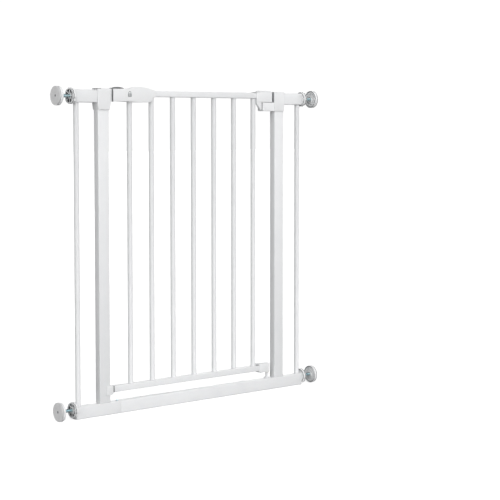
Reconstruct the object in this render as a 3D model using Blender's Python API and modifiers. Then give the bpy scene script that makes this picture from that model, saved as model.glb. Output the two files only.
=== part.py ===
"""Pressure-fit safety gate for a doorway, closed and latched.

Metres, +X along the gate from the latch post to the hinge post, +Y away from the
viewer, +Z up. The origin is on the floor, midway between the two walls.
Run: blender --background --python part.py
"""
from math import atan2, cos, hypot, pi, radians, sin

import bmesh
import bpy
from mathutils import Matrix, Vector

# ---- driving dimensions -------------------------------------------------------
GAP = 0.0003              # clearance left between two pieces that touch
WALL_X = 0.398            # outer face of each rubber wall pad
FRAME_TOP = 0.770
TUBE_W = 0.030            # the frame's rectangular tube, across its wide side
TUBE_HALF_Y = 0.010
TUBE_WALL = 0.0012
TUBE_CORNER = 0.0022
POST_X = 0.272            # centre of each post
POST_TOP = 0.768
FRAME_END_X = 0.350       # end of the bottom rail and of the two top stubs
SIDE_BAR_X = 0.342
BAR_R = 0.00635
BAR_WALL = 0.0009
BAR_PITCH = 0.064
BAR_COUNT = 7
ROUND_SIDES = 24

RAIL_SEAM_X = -0.227      # the bottom rail is two lengths joined here
JOINT_PIN_X = -0.232

LEAF_HALF_Y = 0.009
LEAF_WALL = 0.0010
LEAF_LOW = (0.052, 0.067)      # bottom rail, underside and top
LEAF_HIGH = (0.755, 0.7695)    # top rail, underside and top
LEAF_LEFT_X = -0.240
LEAF_TOP_RIGHT_X = 0.196
LEAF_LOW_RIGHT_X = 0.206

HINGE_X = 0.239
UPPER_PIN_R = 0.0045
LOWER_PIN_R = 0.0030
LOWER_SHANK_R = 0.0040    # the lower pin below its bush
BUSH_WALL = 0.0009
KNUCKLE_R = 0.0062
UPPER_SEAT_Z = 0.745      # top of the bracket's arm, where the upper bush rests
LOWER_SEAT_Z = 0.0445     # top of the lower pin's collar

CAP_X = (-0.2895, -0.253)      # latch post cap
CAP_HALF_Y = 0.0125
CAP_Z = (0.723, 0.7735)
KEEPER_X = (-0.269, -0.2495)
KEEPER_Z = (0.047, 0.070)
KEEPER_HALF_Y = 0.0122

HANDLE_X = (-0.2452, -0.1225)
HANDLE_HALF_Y = 0.012
COVER_BACK_Y = -0.0096    # the handle's front cover ends here
BOLT_TIP_X = -0.2560
BOLT_END_X = -0.2050

SPINDLE_R = 0.004
SPINDLE_X = (0.315, 0.394)
SPINDLE_Z = {"bottom": 0.0225, "top": 0.755}
NUT_X = (0.3523, 0.3605)
NUT_R = 0.0190
NUT_LOBES = 8
NUT_SCALLOP = 0.0013
CUP_X = (0.3895, 0.3972)
CUP_R = 0.0225
PAD_X = (0.3960, WALL_X)
PAD_R = 0.0208
NUT_BORE_R = 0.0043

WHITE = (0.86, 0.87, 0.88)
DARK = (0.105, 0.11, 0.115)
GREY = (0.46, 0.47, 0.48)
ZINC = (0.62, 0.67, 0.70)
NATURAL = (0.78, 0.78, 0.75)


# ---- scene and materials --------------------------------------------------------
def empty_scene():
    for obj in list(bpy.data.objects):
        bpy.data.objects.remove(obj, do_unlink=True)


def new_collection(name):
    collection = bpy.data.collections.new(name)
    bpy.context.scene.collection.children.link(collection)
    return collection


def material(name, colour, roughness, metallic=0.0):
    made = bpy.data.materials.new(name)
    made.use_nodes = True
    shader = made.node_tree.nodes["Principled BSDF"]
    shader.inputs["Base Color"].default_value = (*colour, 1.0)
    shader.inputs["Roughness"].default_value = roughness
    shader.inputs["Metallic"].default_value = metallic
    return made


empty_scene()
GATE = new_collection("safety_baby_gate")
CUTTERS = new_collection("cutters")
PAINT = material("white_powder_coat", WHITE, 0.45)
PLASTIC = material("white_plastic", WHITE, 0.40)
DARK_PLASTIC = material("dark_grey_plastic", DARK, 0.50)
RUBBER = material("grey_rubber", GREY, 0.85)
STEEL = material("zinc_plated_steel", ZINC, 0.30, 1.0)
NYLON = material("natural_nylon", NATURAL, 0.50)


# ---- modelling helpers -------------------------------------------------------------
def finish(name, mesh, finish_material, smooth=None):
    """An object in the gate's collection, with one material."""
    obj = bpy.data.objects.new(name, mesh)
    GATE.objects.link(obj)
    mesh.materials.clear()
    mesh.materials.append(finish_material)
    if smooth is not None:
        mesh.shade_smooth()
        mesh.set_sharp_from_angle(angle=radians(smooth))
    return obj


def to_mesh(name, bm):
    bmesh.ops.recalc_face_normals(bm, faces=bm.faces)
    if bm.calc_volume(signed=True) < 0:
        bmesh.ops.reverse_faces(bm, faces=bm.faces)
    mesh = bpy.data.meshes.new(name)
    bm.to_mesh(mesh)
    bm.free()
    return mesh


def box_bmesh(low, high):
    low, high = Vector(low), Vector(high)
    bm = bmesh.new()
    bmesh.ops.create_cube(bm, size=1.0)
    middle = Matrix.Translation((low + high) / 2)
    bm.transform(middle @ Matrix.Diagonal((*(high - low), 1.0)))
    return bm


def is_along(edge, axis):
    run = edge.verts[1].co - edge.verts[0].co
    return abs(run.normalized()[axis]) > 0.99


def round_edges(bm, edges, radius, segments=3):
    bmesh.ops.bevel(
        bm, geom=list(edges), offset=radius, segments=segments,
        profile=0.5, affect="EDGES", clamp_overlap=True,
    )


def box_mesh(name, low, high, radius=0.0, along=None, segments=2):
    """A box whose edges, all of them or only those along one axis, are rounded."""
    bm = box_bmesh(low, high)
    if radius:
        edges = [e for e in bm.edges if along is None or is_along(e, along)]
        round_edges(bm, edges, radius, segments)
    return to_mesh(name, bm)


def box(name, low, high, finish_material, radius=0.0, along=None):
    return finish(name, box_mesh(name, low, high, radius, along), finish_material)


def along_axis(axis):
    """Turns +Z to the axis numbered 0, 1 or 2."""
    if axis == 0:
        return Matrix.Rotation(pi / 2, 4, "Y")
    if axis == 1:
        return Matrix.Rotation(-pi / 2, 4, "X")
    return Matrix.Identity(4)


def rod_bmesh(start, end, radius, axis, sides=ROUND_SIDES, caps=True):
    """A round rod from one point to another along one axis."""
    start, end = Vector(start), Vector(end)
    bm = bmesh.new()
    bmesh.ops.create_cone(
        bm, cap_ends=caps, segments=sides, radius1=radius, radius2=radius, depth=(end - start).length,
    )
    bm.transform(Matrix.Translation((start + end) / 2) @ along_axis(axis))
    return bm


def outline_mesh(name, points, low_y, high_y, bevel=0.0):
    """A flat outline of (x, z) points, given a thickness along Y."""
    curve = bpy.data.curves.new(name, "CURVE")
    curve.dimensions = "2D"
    curve.fill_mode = "BOTH"
    curve.extrude = (high_y - low_y) / 2 - bevel
    curve.bevel_depth = bevel
    curve.bevel_resolution = 0
    curve.offset = -bevel
    spline = curve.splines.new("POLY")
    spline.points.add(len(points) - 1)
    for point, (x, z) in zip(spline.points, points):
        point.co = (x, z, 0.0, 1.0)
    spline.use_cyclic_u = True
    curve_object = bpy.data.objects.new(name + "_curve", curve)
    CUTTERS.objects.link(curve_object)
    graph = bpy.context.evaluated_depsgraph_get()
    mesh = bpy.data.meshes.new_from_object(curve_object.evaluated_get(graph))
    bpy.data.objects.remove(curve_object)
    bm = bmesh.new()
    bm.from_mesh(mesh)
    bmesh.ops.remove_doubles(bm, verts=bm.verts, dist=0.00001)
    stand_up = Matrix.Rotation(pi / 2, 4, "X")
    bm.transform(Matrix.Translation((0, (low_y + high_y) / 2, 0)) @ stand_up)
    bpy.data.meshes.remove(mesh)
    return to_mesh(name, bm)


def cutter(name, mesh):
    obj = bpy.data.objects.new(name, mesh)
    CUTTERS.objects.link(obj)
    obj.hide_render = True
    obj.display_type = "WIRE"
    return obj


def combine(obj, mesh, operation):
    """A live Boolean on obj with a mesh of its own for the tool."""
    label = f"{obj.name}_{operation.lower()}_{len(obj.modifiers)}"
    modifier = obj.modifiers.new(label, "BOOLEAN")
    modifier.operation = operation
    modifier.solver = "EXACT"
    modifier.object = cutter(label, mesh)
    return obj


def cut_box(obj, low, high):
    return combine(obj, box_mesh("cut", low, high), "DIFFERENCE")


def cut_rod(obj, start, end, radius, axis, sides=ROUND_SIDES):
    return combine(obj, to_mesh("cut", rod_bmesh(start, end, radius, axis, sides=sides)), "DIFFERENCE")


def add_box(obj, low, high, radius=0.0, along=None):
    return combine(obj, box_mesh("add", low, high, radius, along), "UNION")


def add_rod(obj, start, end, radius, axis, sides=ROUND_SIDES):
    mesh = to_mesh("add", rod_bmesh(start, end, radius, axis, sides))
    return combine(obj, mesh, "UNION")


def tube(name, low, high, axis, wall, corner, finish_material):
    """A rectangular tube, open at both ends, its corners rounded."""
    bm = box_bmesh(low, high)
    ends = [f for f in bm.faces if abs(f.normal[axis]) > 0.9]
    bmesh.ops.delete(bm, geom=ends, context="FACES_ONLY")
    round_edges(bm, [e for e in bm.edges if is_along(e, axis)], corner)
    obj = finish(name, to_mesh(name, bm), finish_material, smooth=40)
    wall_modifier = obj.modifiers.new("wall", "SOLIDIFY")
    wall_modifier.thickness = wall
    wall_modifier.offset = -1.0
    return obj


def bar(name, x, low_z, high_z):
    """A round upright, a tube open at both ends."""
    bm = rod_bmesh((x, 0, low_z), (x, 0, high_z), BAR_R, 2, sides=20, caps=False)
    obj = finish(name, to_mesh(name, bm), PAINT, smooth=40)
    wall_modifier = obj.modifiers.new("wall", "SOLIDIFY")
    wall_modifier.thickness = BAR_WALL
    wall_modifier.offset = -1.0
    return obj


def turned_bmesh(profile, place, sides=32, ring=False):
    """A profile of (radius, height) points turned about Z, then moved by the place matrix."""
    bm = bmesh.new()
    points = [bm.verts.new((r, 0, z)) for r, z in profile]
    pairs = list(zip(points, points[1:]))
    if ring:
        pairs.append((points[-1], points[0]))
    edges = [bm.edges.new(pair) for pair in pairs]
    bmesh.ops.spin(
        bm, geom=points + edges, cent=(0, 0, 0), axis=(0, 0, 1),
        angle=2 * pi, steps=sides, use_merge=True,
    )
    bmesh.ops.remove_doubles(bm, verts=bm.verts, dist=0.00001)
    bm.transform(place)
    return bm


def facing(point, axis, sign=1):
    """Puts a turned shape at a point, its +Z along an axis, or against it."""
    turn = along_axis(axis)
    if sign < 0:
        turn = turn @ Matrix.Rotation(pi, 4, "X")
    return Matrix.Translation(point) @ turn


def turned(name, profile, place, finish_material, sides=32, ring=False):
    mesh = to_mesh(name, turned_bmesh(profile, place, sides, ring))
    return finish(name, mesh, finish_material, smooth=40)


def join_under(parent_name, place, children):
    """Puts moving pieces under an empty that stands on their joint's axis."""
    pivot = bpy.data.objects.new(parent_name, None)
    pivot.empty_display_size = 0.02
    pivot.location = place
    GATE.objects.link(pivot)
    for child in children:
        child.parent = pivot
        child.matrix_parent_inverse = Matrix.Translation(-Vector(place))
        for modifier in child.modifiers:
            tool = getattr(modifier, "object", None)
            if tool is not None:
                tool.parent = pivot
                tool.matrix_parent_inverse = Matrix.Translation(-Vector(place))
    return pivot


def screw(name, place, head_r, head_h, shank_r, shank_h):
    """A pan-head screw; its place's +Z points out of the head."""
    profile = [
        (0, head_h), (head_r * 0.65, head_h), (head_r, head_h * 0.55), (head_r, GAP),
        (shank_r, GAP), (shank_r, -shank_h * 0.85), (0, -shank_h),
    ]
    return turned(name, profile, place, STEEL, sides=16)


# ---- fixed frame ---------------------------------------------------------------------
def frame_tubes():
    left_end, right_end = -FRAME_END_X, FRAME_END_X
    high = (FRAME_TOP - TUBE_W, FRAME_TOP)
    for name, x0, x1, low_z, high_z in (
        ("bottom_rail_left", left_end, RAIL_SEAM_X - GAP / 2, 0, TUBE_W),
        ("bottom_rail", RAIL_SEAM_X + GAP / 2, right_end, 0, TUBE_W),
        ("top_stub_left", left_end, -POST_X - TUBE_W / 2 - GAP, *high),
        ("top_stub_right", POST_X + TUBE_W / 2 + GAP, right_end, *high),
    ):
        tube(name, (x0, -TUBE_HALF_Y, low_z), (x1, TUBE_HALF_Y, high_z), 0, TUBE_WALL, TUBE_CORNER, PAINT)
    for name, x in (("left_post", -POST_X), ("right_post", POST_X)):
        low = (x - TUBE_W / 2, -TUBE_HALF_Y, TUBE_W + GAP)
        high_corner = (x + TUBE_W / 2, TUBE_HALF_Y, POST_TOP)
        tube(name, low, high_corner, 2, TUBE_WALL, TUBE_CORNER, PAINT)
    for name, x in (("side_bar_left", -SIDE_BAR_X), ("side_bar_right", SIDE_BAR_X)):
        bar(name, x, TUBE_W + GAP, FRAME_TOP - TUBE_W - GAP)


def rail_joiner():
    """The sleeve inside the bottom rail that joins its two lengths, and its locking pin."""
    inset = TUBE_WALL + GAP
    joiner = tube(
        "rail_joiner", (-0.262, -TUBE_HALF_Y + inset, inset), (-0.190, TUBE_HALF_Y - inset, TUBE_W - inset),
        0, 0.0015, 0.0015, STEEL,
    )
    hole_r = 0.0026
    hole = ((JOINT_PIN_X, 0, TUBE_W - 0.006), (JOINT_PIN_X, 0, TUBE_W + 0.005), hole_r, 2, 16)
    cut_rod(bpy.data.objects["bottom_rail_left"], *hole)
    cut_rod(joiner, *hole)
    profile = [
        (0, 0.0020), (0.0022, 0.0018), (0.0034, 0.0009), (0.0034, GAP),
        (0.0022, GAP), (0.0022, -0.006), (0, -0.006),
    ]
    turned("rail_joiner_pin", profile, facing((JOINT_PIN_X, 0, TUBE_W), 2), STEEL, sides=16)


def latch_post_cap():
    """The moulded cap over the latch post, with a notch that the lock bolt sits in."""
    low_z, high_z = CAP_Z
    x0, x1 = CAP_X
    taper_z = low_z + 0.0125
    outline = [
        (x0 + 0.0022, low_z), (x1 - 0.0032, low_z), (x1, taper_z), (x1, high_z - 0.0015),
        (x1 - 0.0015, high_z), (x0 + 0.0015, high_z), (x0, high_z - 0.0015), (x0, taper_z),
    ]
    shape = outline_mesh("cap", outline, -CAP_HALF_Y, CAP_HALF_Y, 0.0008)
    cap = finish("latch_post_cap", shape, PLASTIC, 30)
    inner_y = TUBE_HALF_Y + GAP
    post = (-POST_X - TUBE_W / 2 - GAP, -POST_X + TUBE_W / 2 + GAP)
    cut_box(cap, (post[0], -inner_y, low_z - 0.01), (post[1], inner_y, POST_TOP + GAP))
    stub_low = FRAME_TOP - TUBE_W - GAP
    cut_box(cap, (x0 - 0.01, -inner_y, stub_low), (post[0] + 0.0005, inner_y, FRAME_TOP + 0.0017))
    cut_box(cap, (post[1] - 0.0005, -0.0080, 0.7545), (x1 + 0.01, 0.0080, high_z + 0.01))


def bottom_keeper():
    """The collar on the latch post whose slot, open at the top, holds the leaf's lower tongue."""
    low = (KEEPER_X[0], -KEEPER_HALF_Y, KEEPER_Z[0])
    high = (KEEPER_X[1], KEEPER_HALF_Y, KEEPER_Z[1])
    keeper = finish("bottom_keeper", box_mesh("keeper", low, high, 0.0012), PLASTIC, 30)
    inner_y = TUBE_HALF_Y + GAP
    post_face = -POST_X + TUBE_W / 2 + GAP
    above = KEEPER_Z[1] + 0.01
    cut_box(keeper, (KEEPER_X[0] - 0.01, -inner_y, KEEPER_Z[0] - 0.01), (post_face, inner_y, above))
    cut_box(keeper, (post_face - 0.0005, -0.0055, 0.0560), (KEEPER_X[1] + 0.01, 0.0055, above))


def hinge_bracket():
    """The bracket on the hinge post: a cap over the post and an arm under the leaf's block."""
    bracket = finish(
        "hinge_bracket",
        box_mesh("bracket", (0.2540, -CAP_HALF_Y, 0.7210), (0.2870, CAP_HALF_Y, 0.7750), 0.0012),
        PLASTIC, 30,
    )
    arm = box_bmesh((0.2170, -0.0110, 0.7230), (0.2560, 0.0110, UPPER_SEAT_Z))
    end_edges = [e for e in arm.edges if is_along(e, 2) and e.verts[0].co.x < 0.22]
    round_edges(arm, end_edges, 0.0050, 3)
    combine(bracket, to_mesh("arm", arm), "UNION")
    inner_y = TUBE_HALF_Y + GAP
    cut_box(bracket, (POST_X - TUBE_W / 2 - GAP, -inner_y, 0.7100), (0.3000, inner_y, POST_TOP + GAP))
    cut_rod(bracket, (HINGE_X, 0, 0.7280), (HINGE_X, 0, 0.7600), UPPER_PIN_R + GAP, 2)


def hinge_pins():
    """The upper pin stands in the bracket's arm, the lower one on the bottom rail."""
    r = UPPER_PIN_R
    upper = [(0, 0.0445), (r - 0.0012, 0.0445), (r, 0.0430), (r, 0), (0, 0)]
    turned("upper_hinge_pin", upper, facing((HINGE_X, 0, 0.7283), 2), STEEL, sides=24)
    seat = TUBE_W + GAP
    r = LOWER_PIN_R
    lower = [
        (0, 0.0645 - seat), (r - 0.0010, 0.0645 - seat), (r, 0.0632 - seat), (r, LOWER_SEAT_Z - seat),
        (LOWER_SHANK_R, LOWER_SEAT_Z - seat), (LOWER_SHANK_R, 0.0345 - seat),
        (LOWER_SHANK_R + 0.0012, 0.0330 - seat), (0.0090, 0.0323 - seat), (0.0090, 0), (0, 0),
    ]
    turned("lower_hinge_pin", lower, facing((HINGE_X, 0, seat), 2), PAINT, sides=24)


def hinge_bush(name, pin_r, seat_z, top_z):
    """A flanged sleeve: it turns on the pin with the leaf, and the leaf slides up on it."""
    flange = 0.0016
    height = top_z - seat_z - GAP
    bore = pin_r + GAP
    outer = bore + BUSH_WALL
    profile = [
        (bore, height), (outer, height), (outer, flange), (outer + 0.0016, flange),
        (outer + 0.0016, 0), (bore, 0),
    ]
    return turned(name, profile, facing((HINGE_X, 0, seat_z + GAP), 2), NYLON, sides=24, ring=True)


def bush_seat_r(pin_r):
    """The bore in the leaf's moulding that slides on a bush."""
    return pin_r + GAP + BUSH_WALL + GAP


# ---- wall fixings, one set at each corner ----------------------------------------------
def adjusting_nut(name, place):
    """A hand nut: scalloped rim, dished outer face, radial ribs and a bore for the spindle."""
    thick = NUT_X[1] - NUT_X[0]
    bm = turned_bmesh(
        [(NUT_BORE_R, thick), (0.0075, thick), (0.0080, thick - 0.0050), (0.0150, thick - 0.0050),
         (0.0156, thick), (NUT_R - 0.0006, thick), (NUT_R, thick - 0.0006), (NUT_R, 0.0006),
         (NUT_R - 0.0006, 0), (NUT_BORE_R, 0)],
        Matrix.Identity(4), sides=NUT_LOBES * 4, ring=True,
    )
    for vertex in bm.verts:
        reach = hypot(vertex.co.x, vertex.co.y)
        if reach > 0.0170:
            turn = atan2(vertex.co.y, vertex.co.x)
            shrink = 1 - NUT_SCALLOP * (0.5 - 0.5 * cos(NUT_LOBES * turn)) / reach
            vertex.co.x *= shrink
            vertex.co.y *= shrink
    bm.transform(place)
    nut = finish(name, to_mesh(name, bm), PLASTIC, 30)
    ribs = bmesh.new()
    for k in range(NUT_LOBES):
        rib = box_mesh("rib", (0.0070, -0.0006, 0.0020), (0.0153, 0.0006, thick - 0.0012))
        rib.transform(place @ Matrix.Rotation(2 * pi * (k + 0.5) / NUT_LOBES, 4, "Z"))
        ribs.from_mesh(rib)
        bpy.data.meshes.remove(rib)
    return combine(nut, to_mesh("ribs", ribs), "UNION")


def wall_cup(name, place):
    """The cup behind the rubber pad: a shallow dish with a hub that holds the spindle's end."""
    deep = CUP_X[1] - CUP_X[0]
    profile = [
        (0, deep - 0.0015), (PAD_R + GAP, deep - 0.0015), (PAD_R + GAP, deep), (CUP_R - 0.0004, deep),
        (CUP_R, deep - 0.0006), (CUP_R, 0.0006), (CUP_R - 0.0004, 0), (CUP_R - 0.0018, 0),
        (CUP_R - 0.0022, deep - 0.0040), (0.0080, deep - 0.0040), (0.0075, -0.0010),
        (NUT_BORE_R, -0.0010), (NUT_BORE_R, deep - 0.0030), (0, deep - 0.0030),
    ]
    return turned(name, profile, place, PLASTIC, sides=28)


def wall_pad(name, place):
    """The rubber disc that grips the wall, with a small hole at its centre."""
    thick = PAD_X[1] - PAD_X[0] - GAP
    profile = [
        (0.0018, thick), (PAD_R - 0.0005, thick), (PAD_R, thick - 0.0005), (PAD_R, 0), (0.0018, 0),
    ]
    return turned(name, profile, place, RUBBER, sides=28, ring=True)


def tube_plug(name, side, level):
    """The plug in the tube's open end that guides the spindle and takes the nut's thrust."""
    low_z = 0.0 if level == "bottom" else FRAME_TOP - TUBE_W
    inset = TUBE_WALL + GAP
    flange = sorted((side * (FRAME_END_X + GAP), side * (NUT_X[0] - GAP)))
    body = sorted((side * (FRAME_END_X - 0.018), side * (FRAME_END_X + 0.0008)))
    low, high = (flange[0], -TUBE_HALF_Y, low_z), (flange[1], TUBE_HALF_Y, low_z + TUBE_W)
    plug = finish(name, box_mesh(name, low, high, TUBE_CORNER, 0), PLASTIC, 30)
    add_box(
        plug, (body[0], -TUBE_HALF_Y + inset, low_z + inset),
        (body[1], TUBE_HALF_Y - inset, low_z + TUBE_W - inset), 0.0012, 0,
    )
    z = SPINDLE_Z[level]
    cut_rod(plug, (side * 0.300, 0, z), (side * 0.380, 0, z), NUT_BORE_R, 0)


def wall_fixing(level, side):
    corner = f"{level}_{'left' if side < 0 else 'right'}"
    z = SPINDLE_Z[level]

    def out_from(x):
        return facing((side * x, 0, z), 0, side)

    tube_plug(f"tube_plug_{corner}", side, level)
    nut = adjusting_nut(f"adjusting_nut_{corner}", out_from(NUT_X[0]))
    length = SPINDLE_X[1] - SPINDLE_X[0]
    profile = [
        (0, length), (SPINDLE_R, length), (SPINDLE_R, 0.0010), (SPINDLE_R - 0.0010, 0), (0, 0),
    ]
    spindle = turned(f"spindle_{corner}", profile, out_from(SPINDLE_X[0]), STEEL, sides=16)
    cup = wall_cup(f"wall_cup_{corner}", out_from(CUP_X[0]))
    pad = wall_pad(f"wall_pad_{corner}", out_from(PAD_X[0] + GAP))
    join_under(f"nut_turn_{corner}", (side * NUT_X[0], 0, z), [nut])
    join_under(f"spindle_travel_{corner}", (side * SPINDLE_X[0], 0, z), [spindle, cup, pad])


# ---- the leaf --------------------------------------------------------------------------
def leaf_bar_xs():
    return [(n - (BAR_COUNT - 1) / 2) * BAR_PITCH for n in range(BAR_COUNT)]


def leaf_rails():
    def rail(name, heights, right_x):
        low, high = (LEAF_LEFT_X, -LEAF_HALF_Y, heights[0]), (right_x, LEAF_HALF_Y, heights[1])
        return tube(name, low, high, 0, LEAF_WALL, 0.0015, PAINT)

    top = rail("leaf_top_rail", LEAF_HIGH, LEAF_TOP_RIGHT_X)
    cut_box(top, (-0.2342, -0.0030, 0.7600), (-0.2110, 0.0030, 0.7750))
    low = rail("leaf_bottom_rail", LEAF_LOW, LEAF_LOW_RIGHT_X)
    bars = [
        bar(f"leaf_bar_{n + 1}", x, LEAF_LOW[1] + GAP, LEAF_HIGH[0] - GAP)
        for n, x in enumerate(leaf_bar_xs())
    ]
    return [top, low, *bars]


def handle_outline():
    """The handle's side view: a flat grip, a bellied underside and a crest on the right."""
    left, right = HANDLE_X
    low_curve = [(left, 0.7420), (-0.2300, 0.7413), (-0.1950, 0.7407), (-0.1700, 0.7404)]
    end_curve = [
        (-0.1500, 0.7411), (-0.1405, 0.7420), (-0.1345, 0.7450), (-0.1318, 0.7490), (-0.1310, 0.7536),
    ]
    crest = [(-0.1225 - 0.0245 * k, 0.7700 + 0.0082 * sin(pi / 2 * k / 2)) for k in range(3)]
    back = [
        (-0.1900, 0.7768), (-0.2000, 0.7738), (-0.2070, 0.7728), (left + 0.0010, 0.7730), (left, 0.7722),
    ]
    return [*low_curve, *end_curve, (right, 0.7536), *crest, *back]


def handle_cavities(shell):
    """Room for the rail, the lock bolt and the tops of the first two bars."""
    cut_box(shell, (-0.3000, -0.0093, LEAF_HIGH[0] - GAP), (-0.1000, 0.0093, LEAF_HIGH[1] + GAP))
    for x in (-3 * BAR_PITCH, -2 * BAR_PITCH):
        cut_rod(shell, (x, 0, 0.7300), (x, 0, 0.7600), BAR_R + GAP, 2, sides=20)


def handle():
    cover = finish(
        "handle_front_cover", outline_mesh("cover", handle_outline(), -HANDLE_HALF_Y, COVER_BACK_Y, 0.0008),
        PLASTIC, 30,
    )
    body = finish(
        "handle_rear_body",
        outline_mesh("body", handle_outline(), COVER_BACK_Y + GAP, HANDLE_HALF_Y, 0.0006), PLASTIC, 30,
    )
    handle_cavities(body)
    cut_box(body, (-0.2352, -0.0034, 0.7650), (-0.2100, 0.0034, 0.7800))
    return [cover, body]


def lock_end_plate():
    """The dark end of the lock housing, open for the bolt."""
    plate = finish(
        "lock_end_plate",
        box_mesh("plate", (-0.2518, -0.0112, 0.7425), (HANDLE_X[0] - GAP, 0.0112, 0.7725), 0.0008),
        DARK_PLASTIC, 30,
    )
    return cut_box(plate, (-0.2600, -0.0075, 0.7562), (-0.2400, 0.0075, 0.7683))


def upper_hinge_block():
    """The leaf's upper corner: a block with a bore and a thin gusset slanting down its front."""
    low_z, high_z = 0.7458, 0.7745
    end_x = HINGE_X + 0.0110
    shape = box_bmesh((LEAF_TOP_RIGHT_X + GAP, -0.0115, low_z), (end_x, 0.0115, high_z))
    outer = [e for e in shape.edges if is_along(e, 2) and e.verts[0].co.x > HINGE_X]
    round_edges(shape, outer, 0.0060, 4)
    block = finish("upper_hinge_block", to_mesh("block", shape), PLASTIC, 30)
    leg = [(0.2085, 0.7240), (0.2118, 0.7240), (0.2118, 0.7500), (0.1966, 0.7500), (0.1966, 0.7425)]
    combine(block, outline_mesh("leg", leg, -0.0105, -0.0030, 0.0006), "UNION")
    add_box(block, (0.1800, -0.0076, 0.7565), (0.1990, 0.0076, 0.7680), 0.0010, 0)
    bore_r = bush_seat_r(UPPER_PIN_R)
    cut_rod(block, (HINGE_X, 0, 0.7400), (HINGE_X, 0, 0.7738), bore_r, 2)
    cut_rod(block, (HINGE_X, 0, 0.7400), (HINGE_X, 0, UPPER_SEAT_Z + 0.0022), bore_r + 0.0016, 2)
    cut_rod(block, (3 * BAR_PITCH, 0, 0.7300), (3 * BAR_PITCH, 0, LEAF_HIGH[0]), BAR_R + GAP, 2, sides=20)
    return block


def hinge_block_lid():
    """The raised lid on the upper hinge block."""
    outline = [
        (0.2070, 0.7748), (0.2455, 0.7748), (0.2450, 0.7754), (0.2435, 0.7757), (0.2090, 0.7757),
        (0.2075, 0.7754),
    ]
    return finish("hinge_block_lid", outline_mesh("lid", outline, -0.0095, 0.0095), PLASTIC, 30)


def lower_hinge_elbow():
    """The leaf's lower corner: a plug in the rail and a knuckle with a bore."""
    body = ((LEAF_LOW_RIGHT_X + GAP, -0.0092, 0.0470), (HINGE_X - 0.0080, 0.0092, 0.0700))
    elbow = finish("lower_hinge_elbow", box_mesh("elbow", *body, 0.0012), PLASTIC, 30)
    add_box(elbow, (0.2270, -0.0062, 0.0470), (HINGE_X, 0.0062, 0.0700))
    add_rod(elbow, (HINGE_X, 0, 0.0470), (HINGE_X, 0, 0.0700), KNUCKLE_R, 2)
    add_box(elbow, (0.1880, -0.0076, 0.0535), (0.2090, 0.0076, 0.0655), 0.0010, 0)
    cut_rod(elbow, (HINGE_X, 0, 0.0400), (HINGE_X, 0, 0.0685), bush_seat_r(LOWER_PIN_R), 2)
    return elbow


def rail_end_cap():
    """The dark cap in the bottom rail's free end, with the tongue that sits in the keeper."""
    cap = finish(
        "rail_end_cap",
        box_mesh("end_cap", (-0.2465, -0.0092, 0.0515), (LEAF_LEFT_X - GAP, 0.0092, 0.0675), 0.0008),
        DARK_PLASTIC, 30,
    )
    add_box(cap, (-0.2420, -0.0076, 0.0535), (-0.2250, 0.0076, 0.0655), 0.0008, 0)
    return add_box(cap, (-0.2556, -0.0045, 0.0570), (-0.2440, 0.0045, 0.0672), 0.0006)


def lock_slider():
    """The bolt inside the top rail and the thumb slider above it, which move as one."""
    bolt = finish(
        "lock_bolt",
        box_mesh("bolt", (BOLT_TIP_X, -0.0070, 0.7566), (BOLT_END_X, 0.0070, 0.7678), 0.0006),
        DARK_PLASTIC, 30,
    )
    cut_rod(bolt, (-0.2200, 0, 0.7622), (-0.1990, 0, 0.7622), 0.0048, 0, sides=16)
    outline = [
        (-0.2525, 0.7751), (-0.2470, 0.7751), (-0.2465, 0.7736), (-0.2135, 0.7736), (-0.2125, 0.7744),
        (-0.2170, 0.7752), (-0.2240, 0.7765), (-0.2290, 0.7773), (-0.2330, 0.7774), (-0.2360, 0.7768),
        (-0.2410, 0.7763), (-0.2520, 0.7763),
    ]
    slider = finish("thumb_slider", outline_mesh("slider", outline, -0.0080, 0.0080, 0.0), DARK_PLASTIC, 30)
    add_box(slider, (-0.2320, -0.0026, 0.7682), (-0.2220, 0.0026, 0.7745))
    return [bolt, slider]


def slider_spring():
    """The coil that pushes the bolt out, seen at its shortest, and the plug behind it."""
    x0, x1, wire, radius, turns, per_turn = -0.2112, -0.1756, 0.0004, 0.0036, 9, 8
    curve = bpy.data.curves.new("spring", "CURVE")
    curve.dimensions = "3D"
    curve.bevel_depth = wire
    curve.bevel_resolution = 0
    curve.use_fill_caps = True
    spline = curve.splines.new("POLY")
    count = turns * per_turn
    spline.points.add(count)
    for k, point in enumerate(spline.points):
        turn = 2 * pi * k / per_turn
        x = x0 + (x1 - x0) * k / count
        point.co = (x, radius * cos(turn), 0.7622 + radius * sin(turn), 1.0)
    spring = bpy.data.objects.new("slider_spring", curve)
    curve.materials.append(STEEL)
    GATE.objects.link(spring)
    stop = box("spring_stop", (-0.1750, -0.0076, 0.7564), (-0.1650, 0.0076, 0.7681), DARK_PLASTIC, 0.0010)
    return [spring, stop]


def screw_into(name, obj, place, head_r, shank_r, depth):
    """A screw in a pilot hole, the hole a little wider and deeper than its shank."""
    hole = rod_bmesh((0, 0, -depth - 2 * GAP), (0, 0, 0.004), shank_r + GAP, 2, sides=16)
    hole.transform(place)
    combine(obj, to_mesh("pilot", hole), "DIFFERENCE")
    return screw(name, place, head_r, head_r * 0.55, shank_r, depth)


frame_tubes()
rail_joiner()
latch_post_cap()
bottom_keeper()
hinge_bracket()
hinge_pins()
hinge_bushes = [
    hinge_bush("upper_hinge_bush", UPPER_PIN_R, UPPER_SEAT_Z, 0.7600),
    hinge_bush("lower_hinge_bush", LOWER_PIN_R, LOWER_SEAT_Z, 0.0600),
]
for corner_level in SPINDLE_Z:
    for corner_side in (-1, 1):
        wall_fixing(corner_level, corner_side)

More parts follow.
